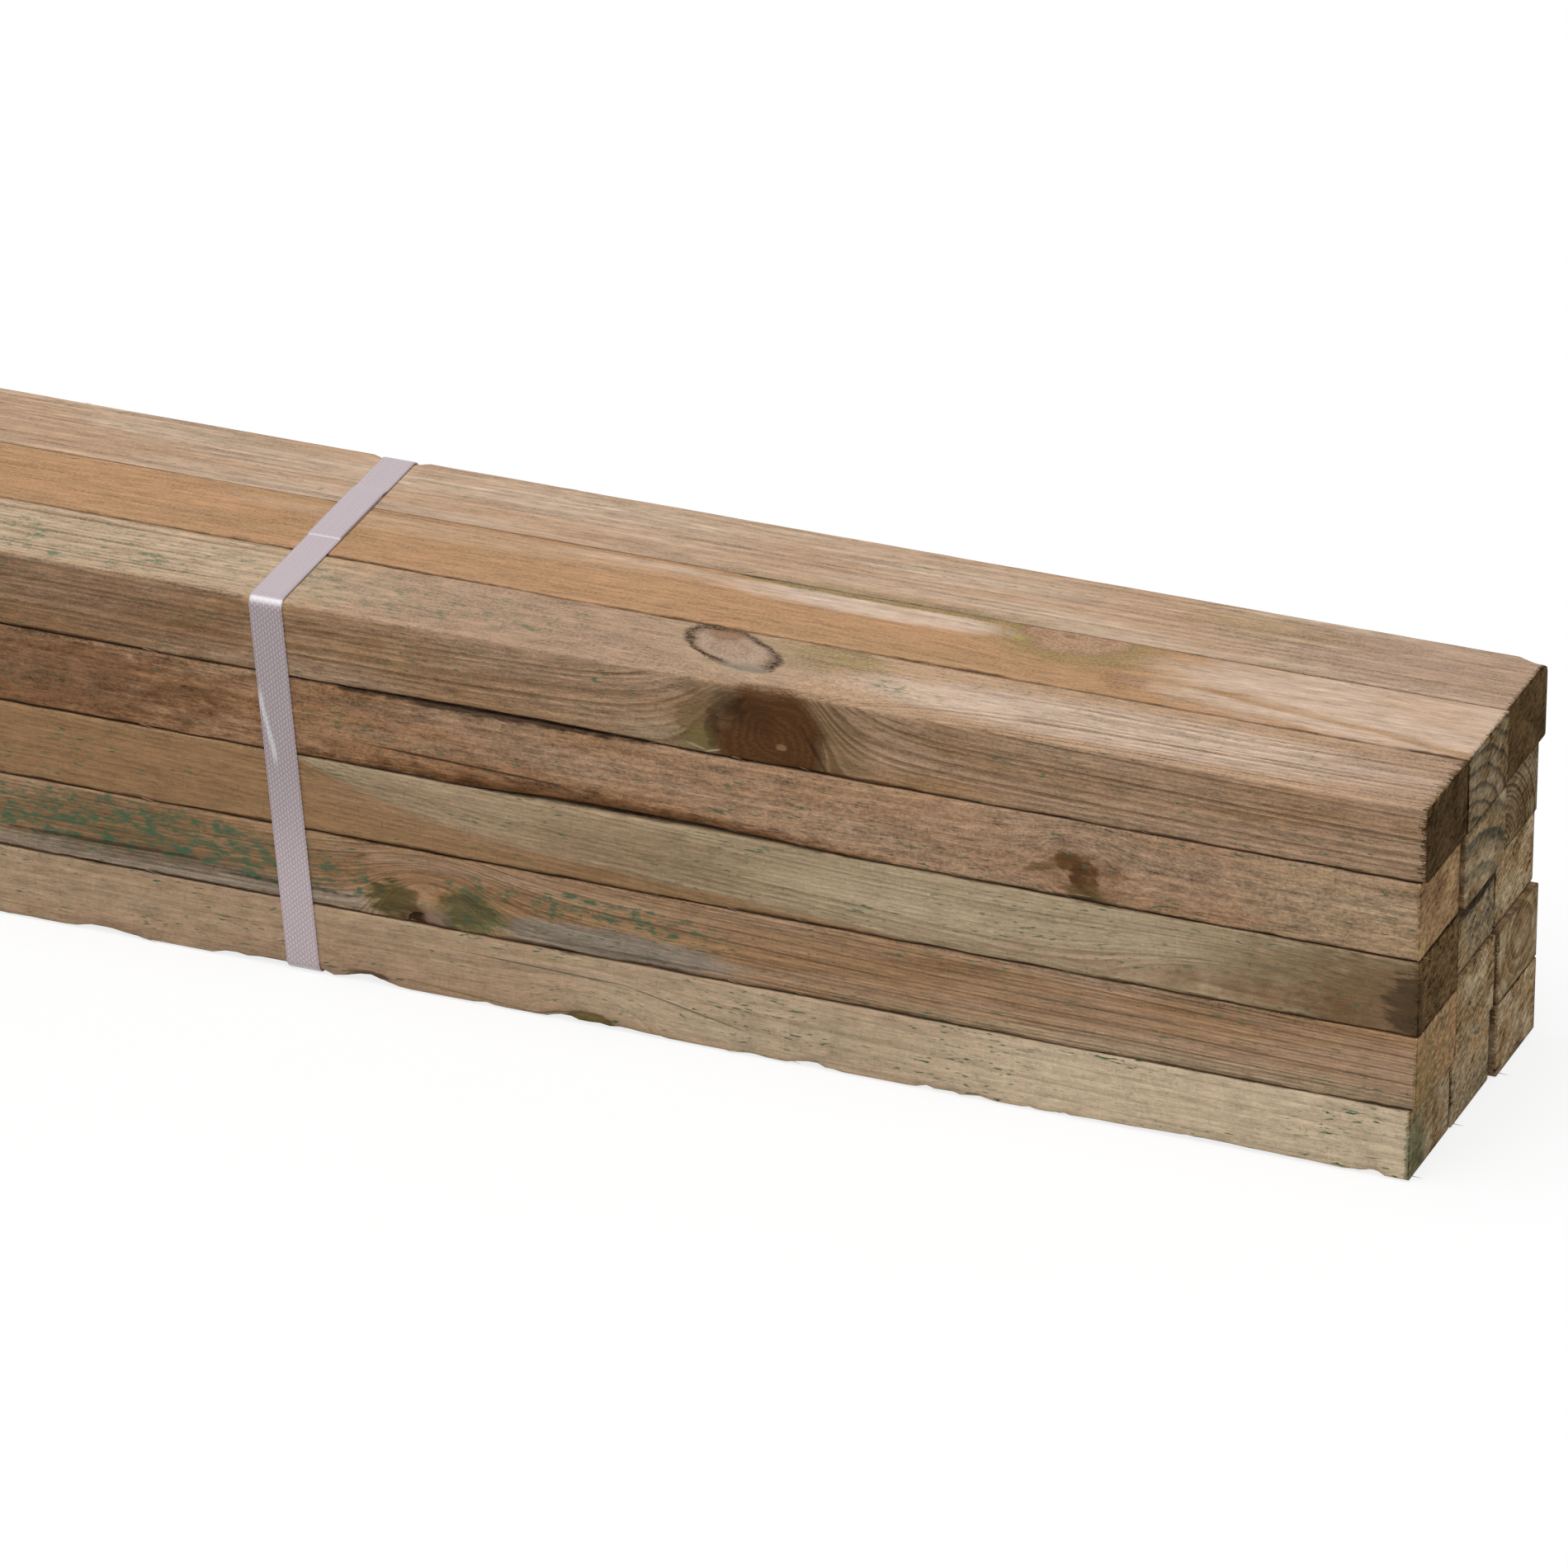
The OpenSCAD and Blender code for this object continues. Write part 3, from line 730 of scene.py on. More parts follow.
    def knotted(self, tone, knot):
        """A knot with its halo, its rings and its ring of bark."""
        web, tint = self.web, self.tint
        across, depth = knot_view(knot, self.look, self.over, self.up)
        oval = (knot["along"], knot["across"], knot["half_along"], knot["half_across"])
        far = away_from(web, self.along, across, oval, knot["tilt"])
        far = far + (self.blot - 0.5) * knot["rough"] + (self.lump - 0.5) * knot["lump"]
        far = far + (self.fuzz - 0.5) * 0.14
        shown = web.ease(depth, *KNOT_SHOWS)
        tone = web.blend(web.ease(far, 2.1, 1.0) * shown * knot["halo_share"], tone, tint[knot["halo"]])
        share = web.math("SINE", far * (knot["rings"] * 2 * math.pi)) * knot["ring_share"]
        share = share + knot["second_share"] + (self.fuzz - 0.5) * knot["grit"] + (self.lump - 0.5) * 0.5
        body = web.blend(share, tint[knot["core"]], tint[knot["second"]])
        body = web.shade(body, (self.fuzz - 0.5) * (knot["grit"] * 1.3) + knot["dark"])
        tone = web.blend(web.ease(far, 1.06 + knot["soft"], 0.90 - knot["soft"]) * shown, tone, body)
        rim = web.ease(far, 0.74, 0.97) * web.ease(far, 1.14, 1.0) * shown * knot["rim"]
        return web.blend(rim * (self.blot * 1.6 + 0.1), tone, tint["rim"])

    def frayed(self, tone):
        """Upper edges, which are frayed, with a painted highlight where they catch the light."""
        edge = self.web.ease(self.look["height"] / 2 - self.up, 2.4, 0.8)
        # Painted highlight: pale tan on the frayed fibres near and on the upper face
        return self.web.blend(edge * self.web.ease(self.fuzz, 0.42, 0.66) * 0.45, tone, self.tint["tan"])

    def sawn_off(self, tone):
        """Sawn ends, with their rings, pores and saw marks."""
        web, look, tint, over, up = self.web, self.look, self.tint, self.over, self.up
        rings = self.late
        if look["end_pith"]:
            out_over, out_up = over - look["end_pith"][0], up - look["end_pith"][1]
            out = web.root(out_over * out_over + out_up * out_up) + (self.lump - 0.5) * 5.0
            rings = self.latewood(out / look["end_pith"][2])
        share = web.ease(self.lump + (self.blot - 0.5) * 0.4, 0.40, 0.64)
        sawn = web.blend(share, tint[look["end"]], tint[look["end_second"]])
        sawn = web.blend(rings * (self.blot + 0.5) * look["end_rings"], sawn, tint[look["end_tone"]])
        kerf = web.noise((up - over * 0.45) / 1.1, (over + up * 0.45) / 11.0, look["seed"], 2.0, 0.65)
        rough = (self.pores - 0.5) * look["speckle"] + (kerf - 0.5) * look["saw"]
        rough = rough + (self.lump - 0.5) * 1.4 + 1.0
        sawn = web.shade(sawn, web.most(rough, 0.15) * look["end_share"])
        return web.blend(self.at_end, tone, sawn)

    def joint_depth(self):
        """The distance from the nearest face that lies against another stud, for the soiling and painted shade
        there. Upper edges get less of both.
        """
        look = self.look
        row, column, tight_side = look["row"], look["column"], look["tight"][0]
        half_w, half_h = look["width"] / 2, look["height"] / 2
        depths = []
        if row > 1:
            depths.append(half_h - self.up + 1.3)
        if row < ROWS:
            depths.append(self.up + half_h)
        if column < 2 and tight_side != 1:
            depths.append(half_w - self.over + 0.6)
        if column > 0 and tight_side != -1:
            depths.append(self.over + half_w + 0.6)
        nearest = depths[0]
        for depth in depths[1:]:
            nearest = self.web.least(nearest, depth)
        return nearest

    def shaded_and_soiled(self, tone):
        """Dirt and painted shade where the studs meet, and pale splinters."""
        web = self.web
        reach = self.field(38.0, 9.0, "up", 4.0, 0.7) * 7.5 - 3.1
        # Painted shade with some soiling: darker towards the faces where studs meet, most along a stud's lower
        # edges
        dirt_and_shade = web.ease(self.joint_depth() - reach + self.at_end * 1.8, 1.3, -0.5) * (1.0 - self.at_end * 0.3)
        tone = web.blend(dirt_and_shade * 0.8, tone, self.tint["grime"])
        sliver = web.take("ShaderNodeAttribute", output="Fac", attribute_name="sliver")
        return web.blend(sliver * 0.75, tone, self.tint["pale"])

    def relief(self):
        """The height of the furrows, the fuzz and the end's pores."""
        furrow = self.field(40.0, 1.7, "-up", 2.0, 0.6)
        height = furrow * 0.4 + self.fuzz * (0.12 + 0.2 * self.look["fuzz"])
        return height + self.pores * self.at_end * 0.5


def pine_material(look, pine):
    """Sawn pine with this stud's rings, knots, stains and ends."""
    wood = PineWood(look, pine)
    tone = wood.stained(wood.ground(), look["stains"])
    tone = wood.treated(wood.grained(tone))
    for knot in look["knots"]:
        if knot["shown"]:
            tone = wood.knotted(tone, knot)
    tone = wood.sawn_off(wood.frayed(tone))
    tone = wood.shaded_and_soiled(wood.stained(tone, look["marks"]))
    wood.web.feed(wood.shader.inputs["Base Color"], tone)
    set_finish(wood.shader, 0.8, 0.0)
    bump = wood.web.take("ShaderNodeBump", {"Strength": 1.0, "Distance": MM, "Height": wood.relief()})
    wood.web.feed(wood.shader.inputs["Normal"], bump)
    return wood.material


WANES = (1, 2)
WANE_TERMS = ("Side", "Face", "Place", "Half", "Depth")
NO_WANE = (0, 0, 0, 1, 0)
STUD_INPUTS = {
    "Vector": ["Middle", "Size"],
    "Int": ["Steps Along", "Steps Across", "Steps Up"],
    "Float": [
        "Edge Round", "Chip Depth", "Face Waver", "Splinters", "Crush Side", "Crush Face", "Crush Near",
        "Crush Far", "Crush Round", "Tight Side", "Tight Face", "End Slope", "Ragged", "Bow", "Seed",
        *(f"Wane {k} {term}" for k in WANES for term in WANE_TERMS)],
    "Material": ["Material"],
}


def add_splinters(web, bar, at_edge, density):
    """A bar with splinters on those of its faces that lie at its long edges."""
    spread = web.node("GeometryNodeDistributePointsOnFaces", {
        "Mesh": bar, "Selection": at_edge, "Density": density, "Seed": 7})
    sliver = web.take("GeometryNodeMeshCone", {
        "Vertices": 3, "Radius Top": 0.00003, "Radius Bottom": 0.00024, "Depth": 0.006})
    lie = web.take("FunctionNodeRandomValue", {
        0: (0.0, math.radians(82), math.radians(-14)), 1: (0.0, math.radians(100), math.radians(14)),
        "Seed": 3}, data_type="FLOAT_VECTOR")
    grow = web.take("FunctionNodeRandomValue", {2: 0.35, 3: 1.35, "Seed": 5}, output=1, data_type="FLOAT")
    slivers = web.take("GeometryNodeInstanceOnPoints", {
        "Points": Wire(web, spread.outputs["Points"]), "Instance": sliver,
        "Rotation": web.take("FunctionNodeEulerToRotation", {0: lie}), "Scale": web.vector(grow, grow, grow)})
    slivers = web.take("GeometryNodeRealizeInstances", {"Geometry": slivers})
    marked = web.take("GeometryNodeStoreNamedAttribute", {
        "Geometry": slivers, "Name": "sliver", "Value": 1.0}, data_type="FLOAT", domain="FACE")
    joined = web.node("GeometryNodeJoinGeometry")
    for part in (marked, bar):
        web.feed(joined.inputs[0], part)
    return Wire(web, joined.outputs[0])


def stud_tree():
    """A stud: a bar with worn and chipped edges, wane, crushed corners and splinters."""
    tree, web, given = shaping_tree("sawn stud", STUD_INPUTS)
    size_x, width, height = web.parts(given["Size"])
    middle_x, middle_y, middle_z = web.parts(given["Middle"])
    half_w, half_h, seed = width * 0.5, height * 0.5, given["Seed"]
    bar = web.take("GeometryNodeMeshCube", {
        "Size": UNIT_CUBE, "Vertices X": given["Steps Along"], "Vertices Y": given["Steps Across"],
        "Vertices Z": given["Steps Up"]})
    grid_x, grid_y, grid_z = web.parts(web.take("GeometryNodeInputPosition"))

    # Points lie closer together towards the near end and towards the edges
    share = web.most(0.5 - grid_x, 0.0)
    along = web.math("POWER", share, 1.4) * size_x
    side = web.math("SIGN", grid_y)
    face = web.math("SIGN", grid_z)

    def towards_edge(grid, extent):
        inset = web.math("POWER", web.most(1.0 - web.size(grid) * 2.0, 0.0), 2.3)
        return extent * (0.5 - inset * 0.5)

    def on_edge(what):
        """1 on the long edge whose side and face these inputs give, and 0 on the others."""
        on_side = web.ease(side * given[what + " Side"], 0.4, 0.6)
        return on_side * web.ease(face * given[what + " Face"], 0.4, 0.6)

    across = towards_edge(grid_y, width)
    up = towards_edge(grid_z, height)

    # Worn edges, crushed where a strap passes over them
    worn = web.noise(along / 26.0, side * 7.3 + seed, face * 5.1, 2.0)
    chip = web.noise(along / 12.0, side * 3.3 - seed, face * 9.1, 1.0)
    tight, here = on_edge("Tight"), on_edge("Crush")
    near = web.ease(web.size(along - given["Crush Near"]), 14.0, 8.5)
    far = web.ease(web.size(along - given["Crush Far"]), 14.0, 8.5)
    wear = web.ease(worn, 0.35, 0.75) * (1.5 - here * 1.2) + 0.6
    radius = given["Edge Round"] * wear * (1.0 - tight * 0.75)
    radius = radius + (given["Crush Round"] - radius) * web.most(near, far) * here
    flat_y = web.least(across, half_w - radius)
    flat_z = web.least(up, half_h - radius)
    past_y, past_z = across - flat_y, up - flat_z
    reach = web.most(web.root(past_y * past_y + past_z * past_z), 1e-5)
    pull = web.least(radius / reach, 1.0)
    across, up = flat_y + past_y * pull, flat_z + past_z * pull

    # Chips and wane take the corner off
    depth = given["Chip Depth"] * web.ease(chip, 0.60, 0.82) * (1.0 - tight) * (1.0 - here)
    depth = depth + given["Ragged"] * here * web.ease(worn * 0.6 + chip * 0.4, 0.47, 0.64)
    for k in WANES:
        part = (along - given[f"Wane {k} Place"]) / given[f"Wane {k} Half"]
        scoop = given[f"Wane {k} Depth"] * web.most(1.0 - part * part, 0.0) * (worn * 0.8 + 0.6)
        depth = web.most(depth, scoop * on_edge(f"Wane {k}"))
    past = web.most((across - half_w + up - half_h) * math.sqrt(0.5) + depth, 0.0) * math.sqrt(0.5)
    across, up = (across - past) * side, (up - past) * face

    # The saw strayed into the faces, and left the ends rough
    stray_y = web.noise(along / 75.0, side * 4.0 + seed, up / 26.0, 2.0) * given["Face Waver"]
    stray_z = web.noise(along / 75.0, across / 26.0, face * 4.0 - seed, 2.0) * given["Face Waver"]
    across = across * (1.0 - stray_y / half_w)
    up = up * (1.0 - stray_z / half_h)
    rough = web.noise(across / 2.6, up / 2.6, seed, 2.0) * 0.7
    edge = web.ease(web.most(web.size(across) - half_w, web.size(up) - half_h), -1.4, -0.2) * 0.5
    along = along + (rough + edge) * (web.ease(share, 0.0008, 0.0002) - web.ease(share, 0.9992, 0.9998))
    skewed = middle_x + size_x * 0.5 - along + across * given["End Slope"]
    bow = given["Bow"] * web.ease(web.size(share - 0.5), 0.48, 0.1)
    made = web.vector(skewed * MM, (middle_y + across + bow) * MM, (middle_z + up) * MM)
    bar = web.take("GeometryNodeSetPosition", {"Geometry": bar, "Position": made})

    # Splinters stand off the long edges
    made_x, made_y, made_z = web.parts(web.take("GeometryNodeInputPosition"))
    by_y = web.size(made_y * PER_METRE - middle_y) - half_w
    by_z = web.size(made_z * PER_METRE - middle_z) - half_h
    at_edge = web.math("GREATER_THAN", web.least(by_y, by_z), -2.2)
    close_tree(web, add_splinters(web, bar, at_edge, given["Splinters"]), given["Material"])
    return tree


def read(items, key, width=1, kind=np.float32):
    """One value, or several, of each item of a mesh."""
    values = np.zeros(len(items) * width, kind)
    items.foreach_get(key, values)
    return values


def unroll_stud(mesh, look):
    """Lays the stud's faces out for baking: its sides in four lengths, its ends and its splinters."""
    pieces, border, row_gap = 4, 6.0, 4.0
    w, h = look["width"], look["height"]
    girth, step = 2 * (w + h), look["length"] / pieces
    last_row = pieces * (girth + row_gap)

    def local(values):
        values = values.reshape(-1, 3) / MM
        over, up = values[:, 1] - look["middle"][1], values[:, 2] - look["middle"][2]
        return look["end_x"] + over * look["slope"] - values[:, 0], over, up

    corner = read(mesh.loops, "vertex_index", kind=np.int32)
    along, over, up = (v[corner] for v in local(read(mesh.vertices, "co", 3)))
    sides = read(mesh.polygons, "loop_total", kind=np.int32)
    owner = np.repeat(np.arange(len(sides)), sides)
    normal = np.abs(read(mesh.polygons, "normal", 3).reshape(-1, 3))[owner]
    centre_along, centre_over, centre_up = (v[owner] for v in local(read(mesh.polygons, "center", 3)))
    mark = mesh.attributes.get("sliver")
    stray = read(mark.data, "value")[owner] > 0.5 if mark else np.zeros(len(owner), bool)

    # The sides, then the ends and the splinters over them
    piece = np.clip(centre_along // step, 0, pieces - 1)
    round_about = np.where(
        normal[:, 2] >= normal[:, 1],
        np.where(centre_up > 0, over + w / 2, w + h + w / 2 - over),
        np.where(centre_over > 0, w + h / 2 - up, 2 * w + h + h / 2 + up))
    u = along - piece * step + border
    v = round_about + piece * (girth + row_gap) + row_gap / 2
    ends = (normal[:, 0] > 0.7) & ~stray
    second_end = np.where(centre_along > look["length"] / 2, w + border, 0)
    u = np.where(ends, over + w / 2 + border + second_end, u)
    v = np.where(ends, up + h / 2 + last_row + row_gap / 2, v)
    u = np.where(stray, 3 * (w + border) + (along - centre_along) % 5, u)
    v = np.where(stray, last_row + row_gap + (over - centre_over) % 5, v)
    flat = np.stack([u / (step + 2 * border), v / (last_row + h + 2 * row_gap)], 1).astype(np.float32)
    layer = mesh.uv_layers.get(BAKE_MAP) or mesh.uv_layers.new(name=BAKE_MAP)
    layer.data.foreach_set("uv", flat.ravel())


def strap_line(strap, which):
    """The middle of a strap's slab along the bundle and its two slopes, in millimetres."""
    height, width = (CAD_BOX[1][2] - CAD_BOX[0][2]) / MM, (CAD_BOX[1][1] - CAD_BOX[0][1]) / MM
    stack_height = height - 3 * strap.thickness / MM - 2 * strap.gap / MM
    stack_width = width - 2 * (strap.thickness + strap.gap) / MM
    lean = math.atan((strap.lean / MM if which == "near" else -0.5 * strap.lean / MM) / stack_height)
    skew = math.atan(strap.skew / MM / stack_width)
    low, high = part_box(f"strap_{which}_end")
    middle = (low[0] + high[0]) / 2 / MM
    floor = (strap.thickness + strap.gap) / MM
    return dict(middle=middle, lean=lean, skew=skew, stack_width=stack_width, stack_height=stack_height,
                rise=floor + stack_height / 2)


def strap_place(line, over, up):
    """Where along the bundle a strap's middle passes a point of the stack's outline."""
    return (line["middle"] + over * math.tan(line["skew"])
            - (up - line["rise"]) * math.tan(line["lean"]) / math.cos(line["skew"]))


def stud_values(look, pine, strap):
    """The inputs of the tree for one stud."""
    column, row = look["column"], look["row"]
    at_corner, hidden = column != 1 and row in (1, ROWS), column == 1 and 1 < row < ROWS
    side, face = (-1 if column == 0 else 1), (1 if row == 1 else -1)
    reach = side * look["width"] / 2
    corner = look["middle"][1] + reach, look["middle"][2] + face * look["height"] / 2
    end = look["end_x"] + reach * look["slope"]
    near, far = (end - strap_place(strap_line(strap, which), *corner) for which in STRAP_ENDS)
    values = {
        "Middle": tuple(look["middle"]), "Size": (look["length"], look["width"], look["height"]),
        "Steps Along": HIDDEN_STEPS_ALONG if hidden else pine.steps_along,
        "Steps Across": STEPS_ACROSS, "Steps Up": STEPS_UP,
        "Edge Round": pine.edge_round / MM, "Chip Depth": pine.chip_depth / MM,
        "Face Waver": pine.face_waver / MM, "Splinters": 0.0 if hidden else float(pine.splinters),
        "Crush Side": float(side if at_corner else 0), "Crush Face": float(face if at_corner else 0),
        "Crush Near": near, "Crush Far": far, "Crush Round": strap.bend / MM + 0.1,
        "Tight Side": float(look["tight"][0]), "Tight Face": float(look["tight"][1]),
        "End Slope": look["slope"], "Ragged": look["ragged"], "Bow": look["bow"], "Seed": look["seed"],
        "Material": pine_material(look, pine)}
    for k in WANES:
        wane = look["wanes"][k - 1] if len(look["wanes"]) >= k else NO_WANE
        values.update({f"Wane {k} {term}": float(value) for term, value in zip(WANE_TERMS, wane)})
    return values


class STUDS_OT_saw_studs(bpy.types.Operator):
    """Saws the studs, with their worn edges, knots and stains"""

    bl_idname = "studs.saw_studs"
    bl_label = "Saw Studs"

    def execute(self, context):
        pine, strap = context.scene.pine_settings, context.scene.strap_settings
        tree = stud_tree()
        for column in COLUMNS:
            for row in range(1, ROWS + 1):
                name = f"stud_row{row}_{column}"
                look = stud_look(name, pine)
                stud = shaped_mesh(name + "_sawn", tree, stud_values(look, pine, strap))
                unroll_stud(stud.data, look)
                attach(stud, "root")
                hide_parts(name)
        return {"FINISHED"}


STRAP_INPUTS = {
    "Float": [
        "Outline Width", "Outline Height", "Bend", "Band Width", "Thickness", "Lap Start", "Lap Length",
        "Middle", "Rise", "Lean", "Skew"],
    "Material": ["Material"],
}


def strap_tree():
    """A strap: one band led round the outline of the stack, its end welded over its start."""
    tree, web, given = shaping_tree("drawn strap", STRAP_INPUTS)
    outline = web.take("GeometryNodeCurvePrimitiveQuadrilateral", {
        "Width": given["Outline Width"], "Height": given["Outline Height"]})
    outline = web.take(
        "GeometryNodeFilletCurve", {"Curve": outline, "Count": 10, "Radius": given["Bend"]}, mode="POLY")
    outline = web.take("GeometryNodeResampleCurve", {"Curve": outline, "Length": 0.8}, mode="LENGTH")
    girth = web.take("GeometryNodeCurveLength", {"Curve": outline})
    band = web.take("GeometryNodeMeshCube", {
        "Size": UNIT_CUBE, "Vertices X": 900, "Vertices Y": 15, "Vertices Z": 2})
    grid_x, grid_y, grid_z = web.parts(web.take("GeometryNodeInputPosition"))
    along = (grid_x + 0.5) * (girth + given["Lap Length"])
    cross = grid_y * given["Band Width"]
    start = given["Bend"] * (math.pi / 2) + given["Outline Width"] * 0.5 - given["Bend"] - given["Lap Start"]
    sample = web.node("GeometryNodeSampleCurve", {
        "Curves": outline, "Length": web.math("FLOORED_MODULO", along + start, girth)}, mode="LENGTH")
    line_y, line_z, _ = web.parts(Wire(web, sample.outputs["Position"]))
    tangent_y, tangent_z, _ = web.parts(Wire(web, sample.outputs["Tangent"]))

    # The lap is welded over the start, and melted thin at its end
    lift = web.ease(along, girth - 8.0, girth - 1.0) * (given["Thickness"] + 0.02)
    melted = web.ease(along, girth + given["Lap Length"], girth + given["Lap Length"] - 4.0) * 0.8 + 0.2
    selvedge = web.ease(web.size(grid_y), 0.5, 0.47) * 0.15 + 0.85
    out = (grid_z + 0.5) * given["Thickness"] * melted * selvedge + lift * melted
    place_y = line_y + tangent_z * out
    place_z = line_z - tangent_y * out
    tilt = web.math("TANGENT", given["Lean"]) / web.math("COSINE", given["Skew"])
    spread = web.math("COSINE", given["Lean"]) * web.math("COSINE", given["Skew"])
    place_x = given["Middle"] + place_y * web.math("TANGENT", given["Skew"]) - place_z * tilt + cross / spread
    made = web.vector(place_x * MM, place_y * MM, (place_z + given["Rise"]) * MM)
    place = web.vector(along, cross, girth + given["Lap Length"] - along)
    marked = web.take("GeometryNodeStoreNamedAttribute", {
        "Geometry": band, "Name": "band", "Value": place}, data_type="FLOAT_VECTOR", domain="POINT")
    band = web.take("GeometryNodeSetPosition", {"Geometry": marked, "Position": made})
    close_tree(web, band, given["Material"])
    return tree


def strap_material(strap):
    """Lilac white plastic with a pressed weave, with painted highlights at its whitened bends, its lap end and
    a glint on one edge.
    """
    material, web, shader = plain_material("embossed strap plastic")
    x, y, z = web.parts(web.take("ShaderNodeTexCoord", output="Object"))
    along, cross, left = web.parts(web.take("ShaderNodeAttribute", output="Vector", attribute_name="band"))

    # Pressed weave in columns that are half a cell apart, flattened on the upper run
    column = cross / 1.45 + 20.0
    odd = web.math("MODULO", web.math("FLOOR", column), 2.0) * 0.5
    weft = web.size(web.math("SINE", (along / 2.6 + odd) * math.pi))
    cell = web.size(web.math("SINE", column * math.pi)) * weft
    over_top = web.ease(z, *UPPER_RUN)
    raised = web.ease(cell, 0.15, 0.75) * (1.0 - over_top * 0.75)
    draw = web.noise(cross * 1.6, along / 40.0, 0.0, 2.0)
    # Painted light: the raised cells of the weave, the upper run and the foot, near the lit floor, are painted
    # lighter
    light = (draw - 0.5) * 0.2 + raised * 0.36 + 0.81 + over_top * 0.08 + web.ease(z, *STRAP_FOOT) * 0.30
    tone = web.shade(tuple(strap.plastic), light)

    # Painted highlights: the bends, also stress-whitened, the lap end and a glint on one edge
    bend = web.ease(web.size(web.size(y) - BEND_OVER), 0.0022, 0.0006)
    bend = bend * web.ease(web.size(z - BEND_UP), 0.0925, 0.0945)
    lap = web.ease(left, 3.2, 1.6) * web.ease(left, 0.2, 0.8) * 0.6
    slide = web.ease(z, 0.146, 0.108) * 4.4 - 7.2
    glint = web.ease(web.size(cross - slide + (draw - 0.5) * 2.0), 1.7, 0.6)
    glint = glint * web.ease(web.size(z - GLINT_UP), 0.022, 0.013) * web.ease(y, -0.060, -0.072)
    tone = web.blend(web.most(web.most(bend, lap), glint), tone, HIGHLIGHT_WHITE)
    web.feed(shader.inputs["Base Color"], tone)
    set_finish(shader, 0.34, 0.5)
    bump = web.take("ShaderNodeBump", {"Strength": 1.0, "Distance": strap.emboss_depth, "Height": raised})
    web.feed(shader.inputs["Normal"], bump)
    return material


class STUDS_OT_draw_straps(bpy.types.Operator):
    """Draws the straps tight round the stack"""

    bl_idname = "studs.draw_straps"
    bl_label = "Draw Straps"

    def execute(self, context):
        strap = context.scene.strap_settings
        tree = strap_tree()
        material = strap_material(strap)
        for which in STRAP_ENDS:
            line = strap_line(strap, which)
            values = {
                "Outline Width": line["stack_width"] + 2 * strap.gap / MM,
                "Outline Height": line["stack_height"] + 2 * strap.gap / MM, "Bend": strap.bend / MM,
                "Band Width": strap.width / MM, "Thickness": strap.thickness / MM,
                "Lap Start": strap.lap_start / MM, "Lap Length": strap.lap_length / MM,
                "Middle": line["middle"], "Rise": line["rise"], "Lean": line["lean"], "Skew": line["skew"],
                "Material": material}
            node = f"strap_{which}_end"
            band = shaped_mesh(node + "_band", tree, values)
            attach(band, "root")
            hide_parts(node)
        return {"FINISHED"}


def seen_directly(web):
    """1 for rays that show the background itself: from the camera, a gloss or a clear piece."""
    path = web.node("ShaderNodeLightPath")
    rays = [Wire(web, path.outputs[f"Is {kind} Ray"]) for kind in ("Camera", "Glossy", "Transmission")]
    return web.most(web.most(rays[0], rays[1]), rays[2])


def floor_material(stage):
    """A floor that lights the bundle as a pale one does, and looks white."""
    material, web, shader = plain_material("pale floor")
    seen = seen_directly(web)
    web.feed(shader.inputs["Base Color"], web.blend(seen, stage.floor, WHITE))
    set_finish(shader, 0.9, 0.0)
    glow = web.take("ShaderNodeEmission", {"Color": rgba(WHITE), "Strength": 1.0})
    shown = web.take("ShaderNodeMixShader", {0: seen * FLOOR_GLOW, 1: Wire(web, shader.outputs[0]), 2: glow})
    output = next(n for n in material.node_tree.nodes if n.type == "OUTPUT_MATERIAL")
    web.feed(output.inputs["Surface"], shown)
    return material


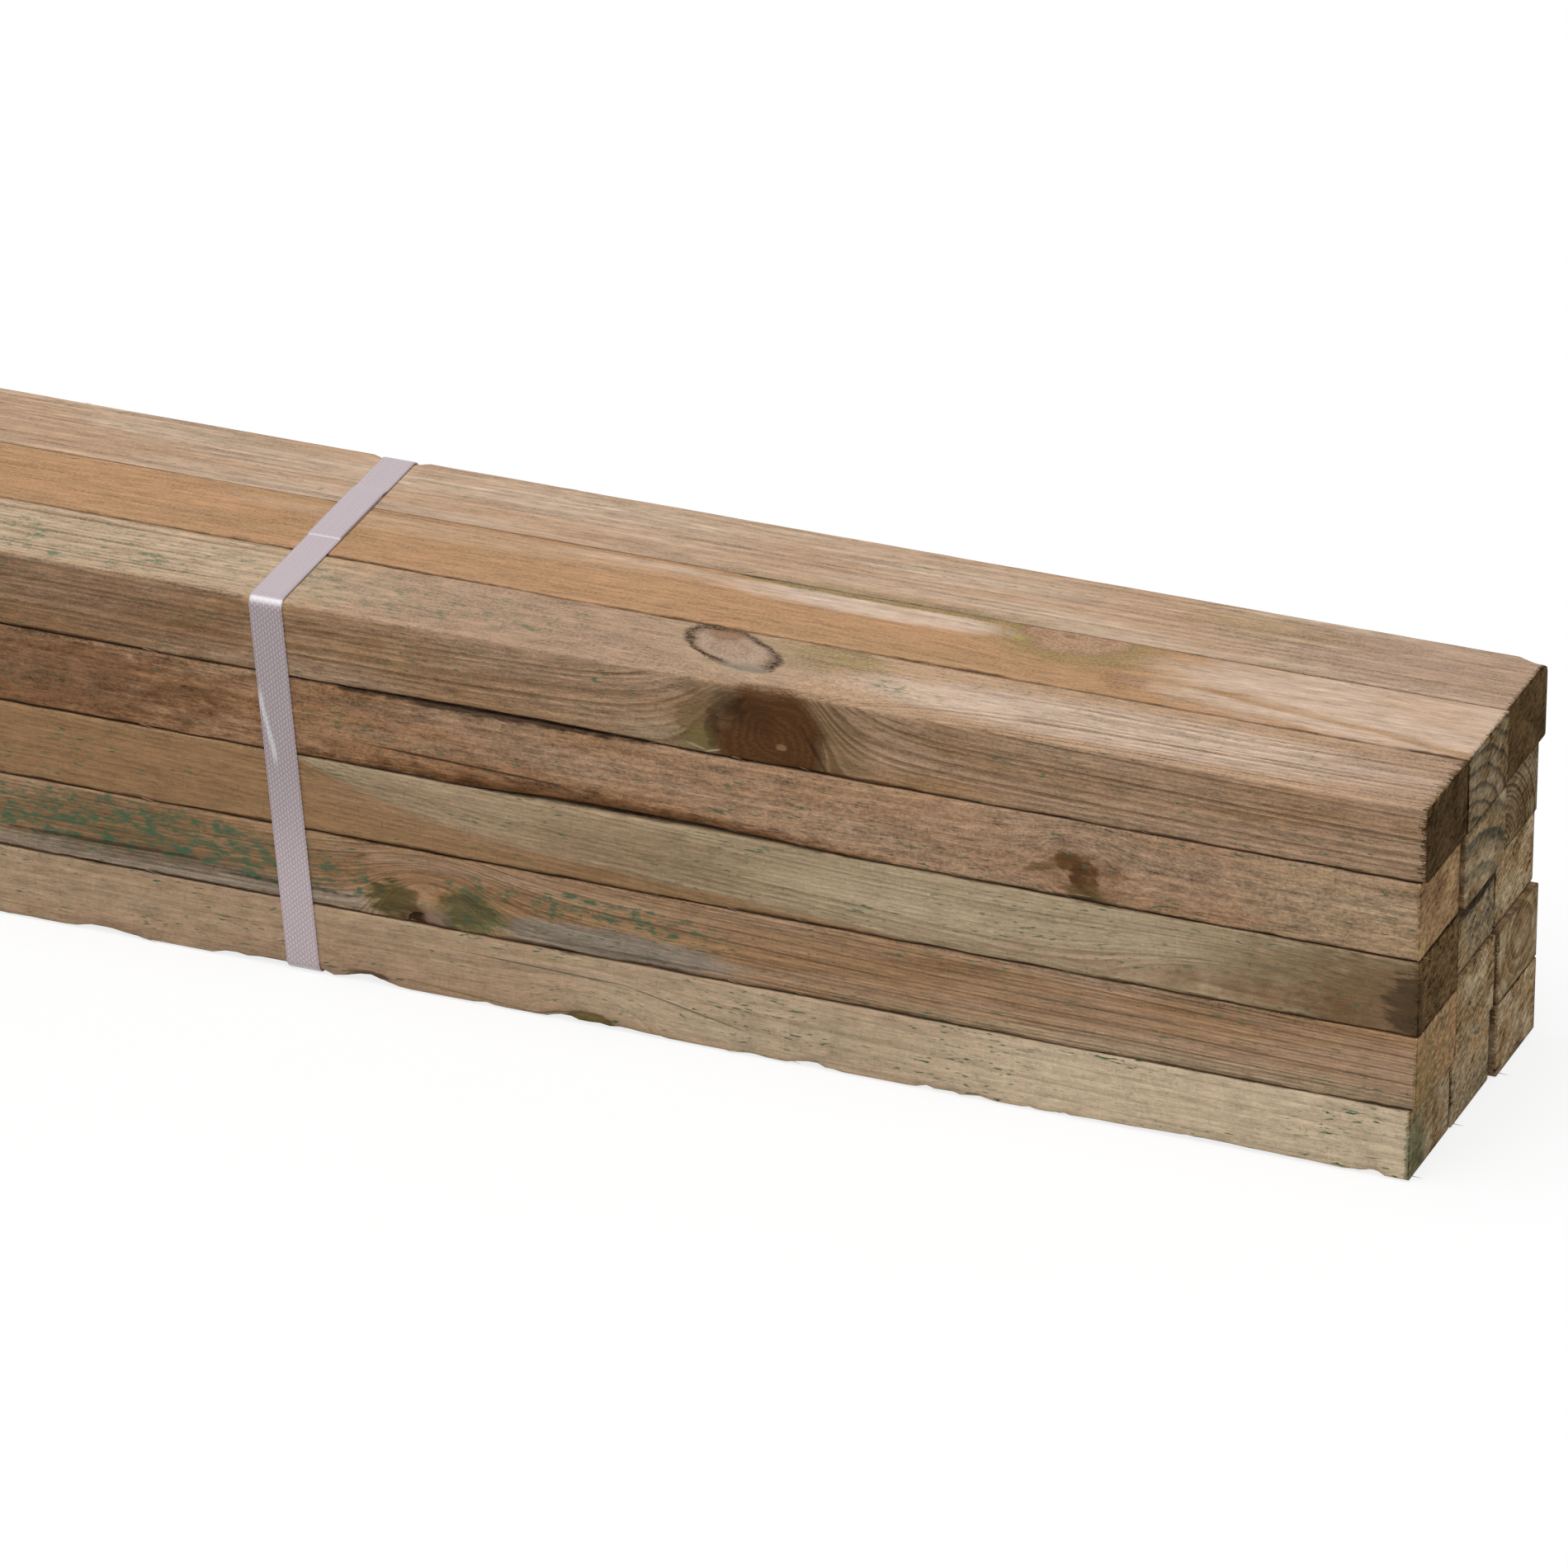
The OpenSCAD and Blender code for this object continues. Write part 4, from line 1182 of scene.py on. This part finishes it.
class STUDS_OT_set_stage(bpy.types.Operator):
    """Sets the white floor, the soft light and the camera"""

    bl_idname = "studs.set_stage"
    bl_label = "Set Stage"

    def execute(self, context):
        scene, stage = context.scene, context.scene.stage_settings
        corners = [(x * FLOOR_REACH, y * FLOOR_REACH, 0) for x, y in ((-1, -1), (1, -1), (1, 1), (-1, 1))]
        mesh = bpy.data.meshes.new("floor")
        mesh.from_pydata(corners, [], [(0, 1, 2, 3)])
        mesh.materials.append(floor_material(stage))
        floor = bpy.data.objects.new("floor", mesh)
        scene.collection.objects.link(floor)

        world = bpy.data.worlds.new("soft studio")
        world.use_nodes = True
        scene.world = world
        web = Web(world.node_tree)
        background = next(n for n in world.node_tree.nodes if n.type == "BACKGROUND")
        background.inputs["Color"].default_value = rgba(WHITE)
        web.feed(background.inputs["Strength"], seen_directly(web) * (1.0 - stage.sky) + stage.sky)

        lamp = bpy.data.lights.new("overhead lamp", "SUN")
        lamp.energy = stage.lamp
        lamp.angle = LAMP_SPREAD
        hung = bpy.data.objects.new("overhead lamp", lamp)
        hung.rotation_euler = LAMP_TURN
        scene.collection.objects.link(hung)

        view = bpy.data.cameras.new("camera")
        view.sensor_width = PHOTO_LENS_SENSOR
        view.lens = stage.lens
        view.clip_end = 100.0
        camera = bpy.data.objects.new("camera", view)
        camera.location = stage.eye
        camera.rotation_euler = (math.pi / 2 - stage.elevation, 0, stage.azimuth)
        scene.collection.objects.link(camera)
        scene.camera = camera
        scene.view_settings.view_transform = "Standard"
        return {"FINISHED"}


class STUDS_PT_bundle(bpy.types.Panel):
    """Lists the bundle's settings and steps"""

    bl_idname = "STUDS_PT_bundle"
    bl_label = "Bundle of Pine Studs"
    bl_space_type = "VIEW_3D"
    bl_region_type = "UI"
    bl_category = "Studs"

    def draw(self, context):
        for group, operator in STEPS:
            box = self.layout.box()
            settings = getattr(context.scene, group)
            for key in type(settings).__annotations__:
                box.prop(settings, key)
            box.operator(operator)


STEPS = (
    ("pine_settings", "studs.saw_studs"),
    ("strap_settings", "studs.draw_straps"),
    ("stage_settings", "studs.set_stage"),
)
CLASSES = (
    PineSettings, StrapSettings, StageSettings, STUDS_OT_saw_studs, STUDS_OT_draw_straps, STUDS_OT_set_stage,
    STUDS_PT_bundle)


def register():
    for cls in CLASSES:
        bpy.utils.register_class(cls)
    bpy.types.Scene.pine_settings = bpy.props.PointerProperty(type=PineSettings)
    bpy.types.Scene.strap_settings = bpy.props.PointerProperty(type=StrapSettings)
    bpy.types.Scene.stage_settings = bpy.props.PointerProperty(type=StageSettings)


def unregister():
    for group, _ in STEPS:
        delattr(bpy.types.Scene, group)
    for cls in reversed(CLASSES):
        bpy.utils.unregister_class(cls)


def main():
    register()
    bpy.ops.studs.saw_studs()
    bpy.ops.studs.draw_straps()
    bpy.ops.studs.set_stage()


if __name__ == "__main__":
    main()
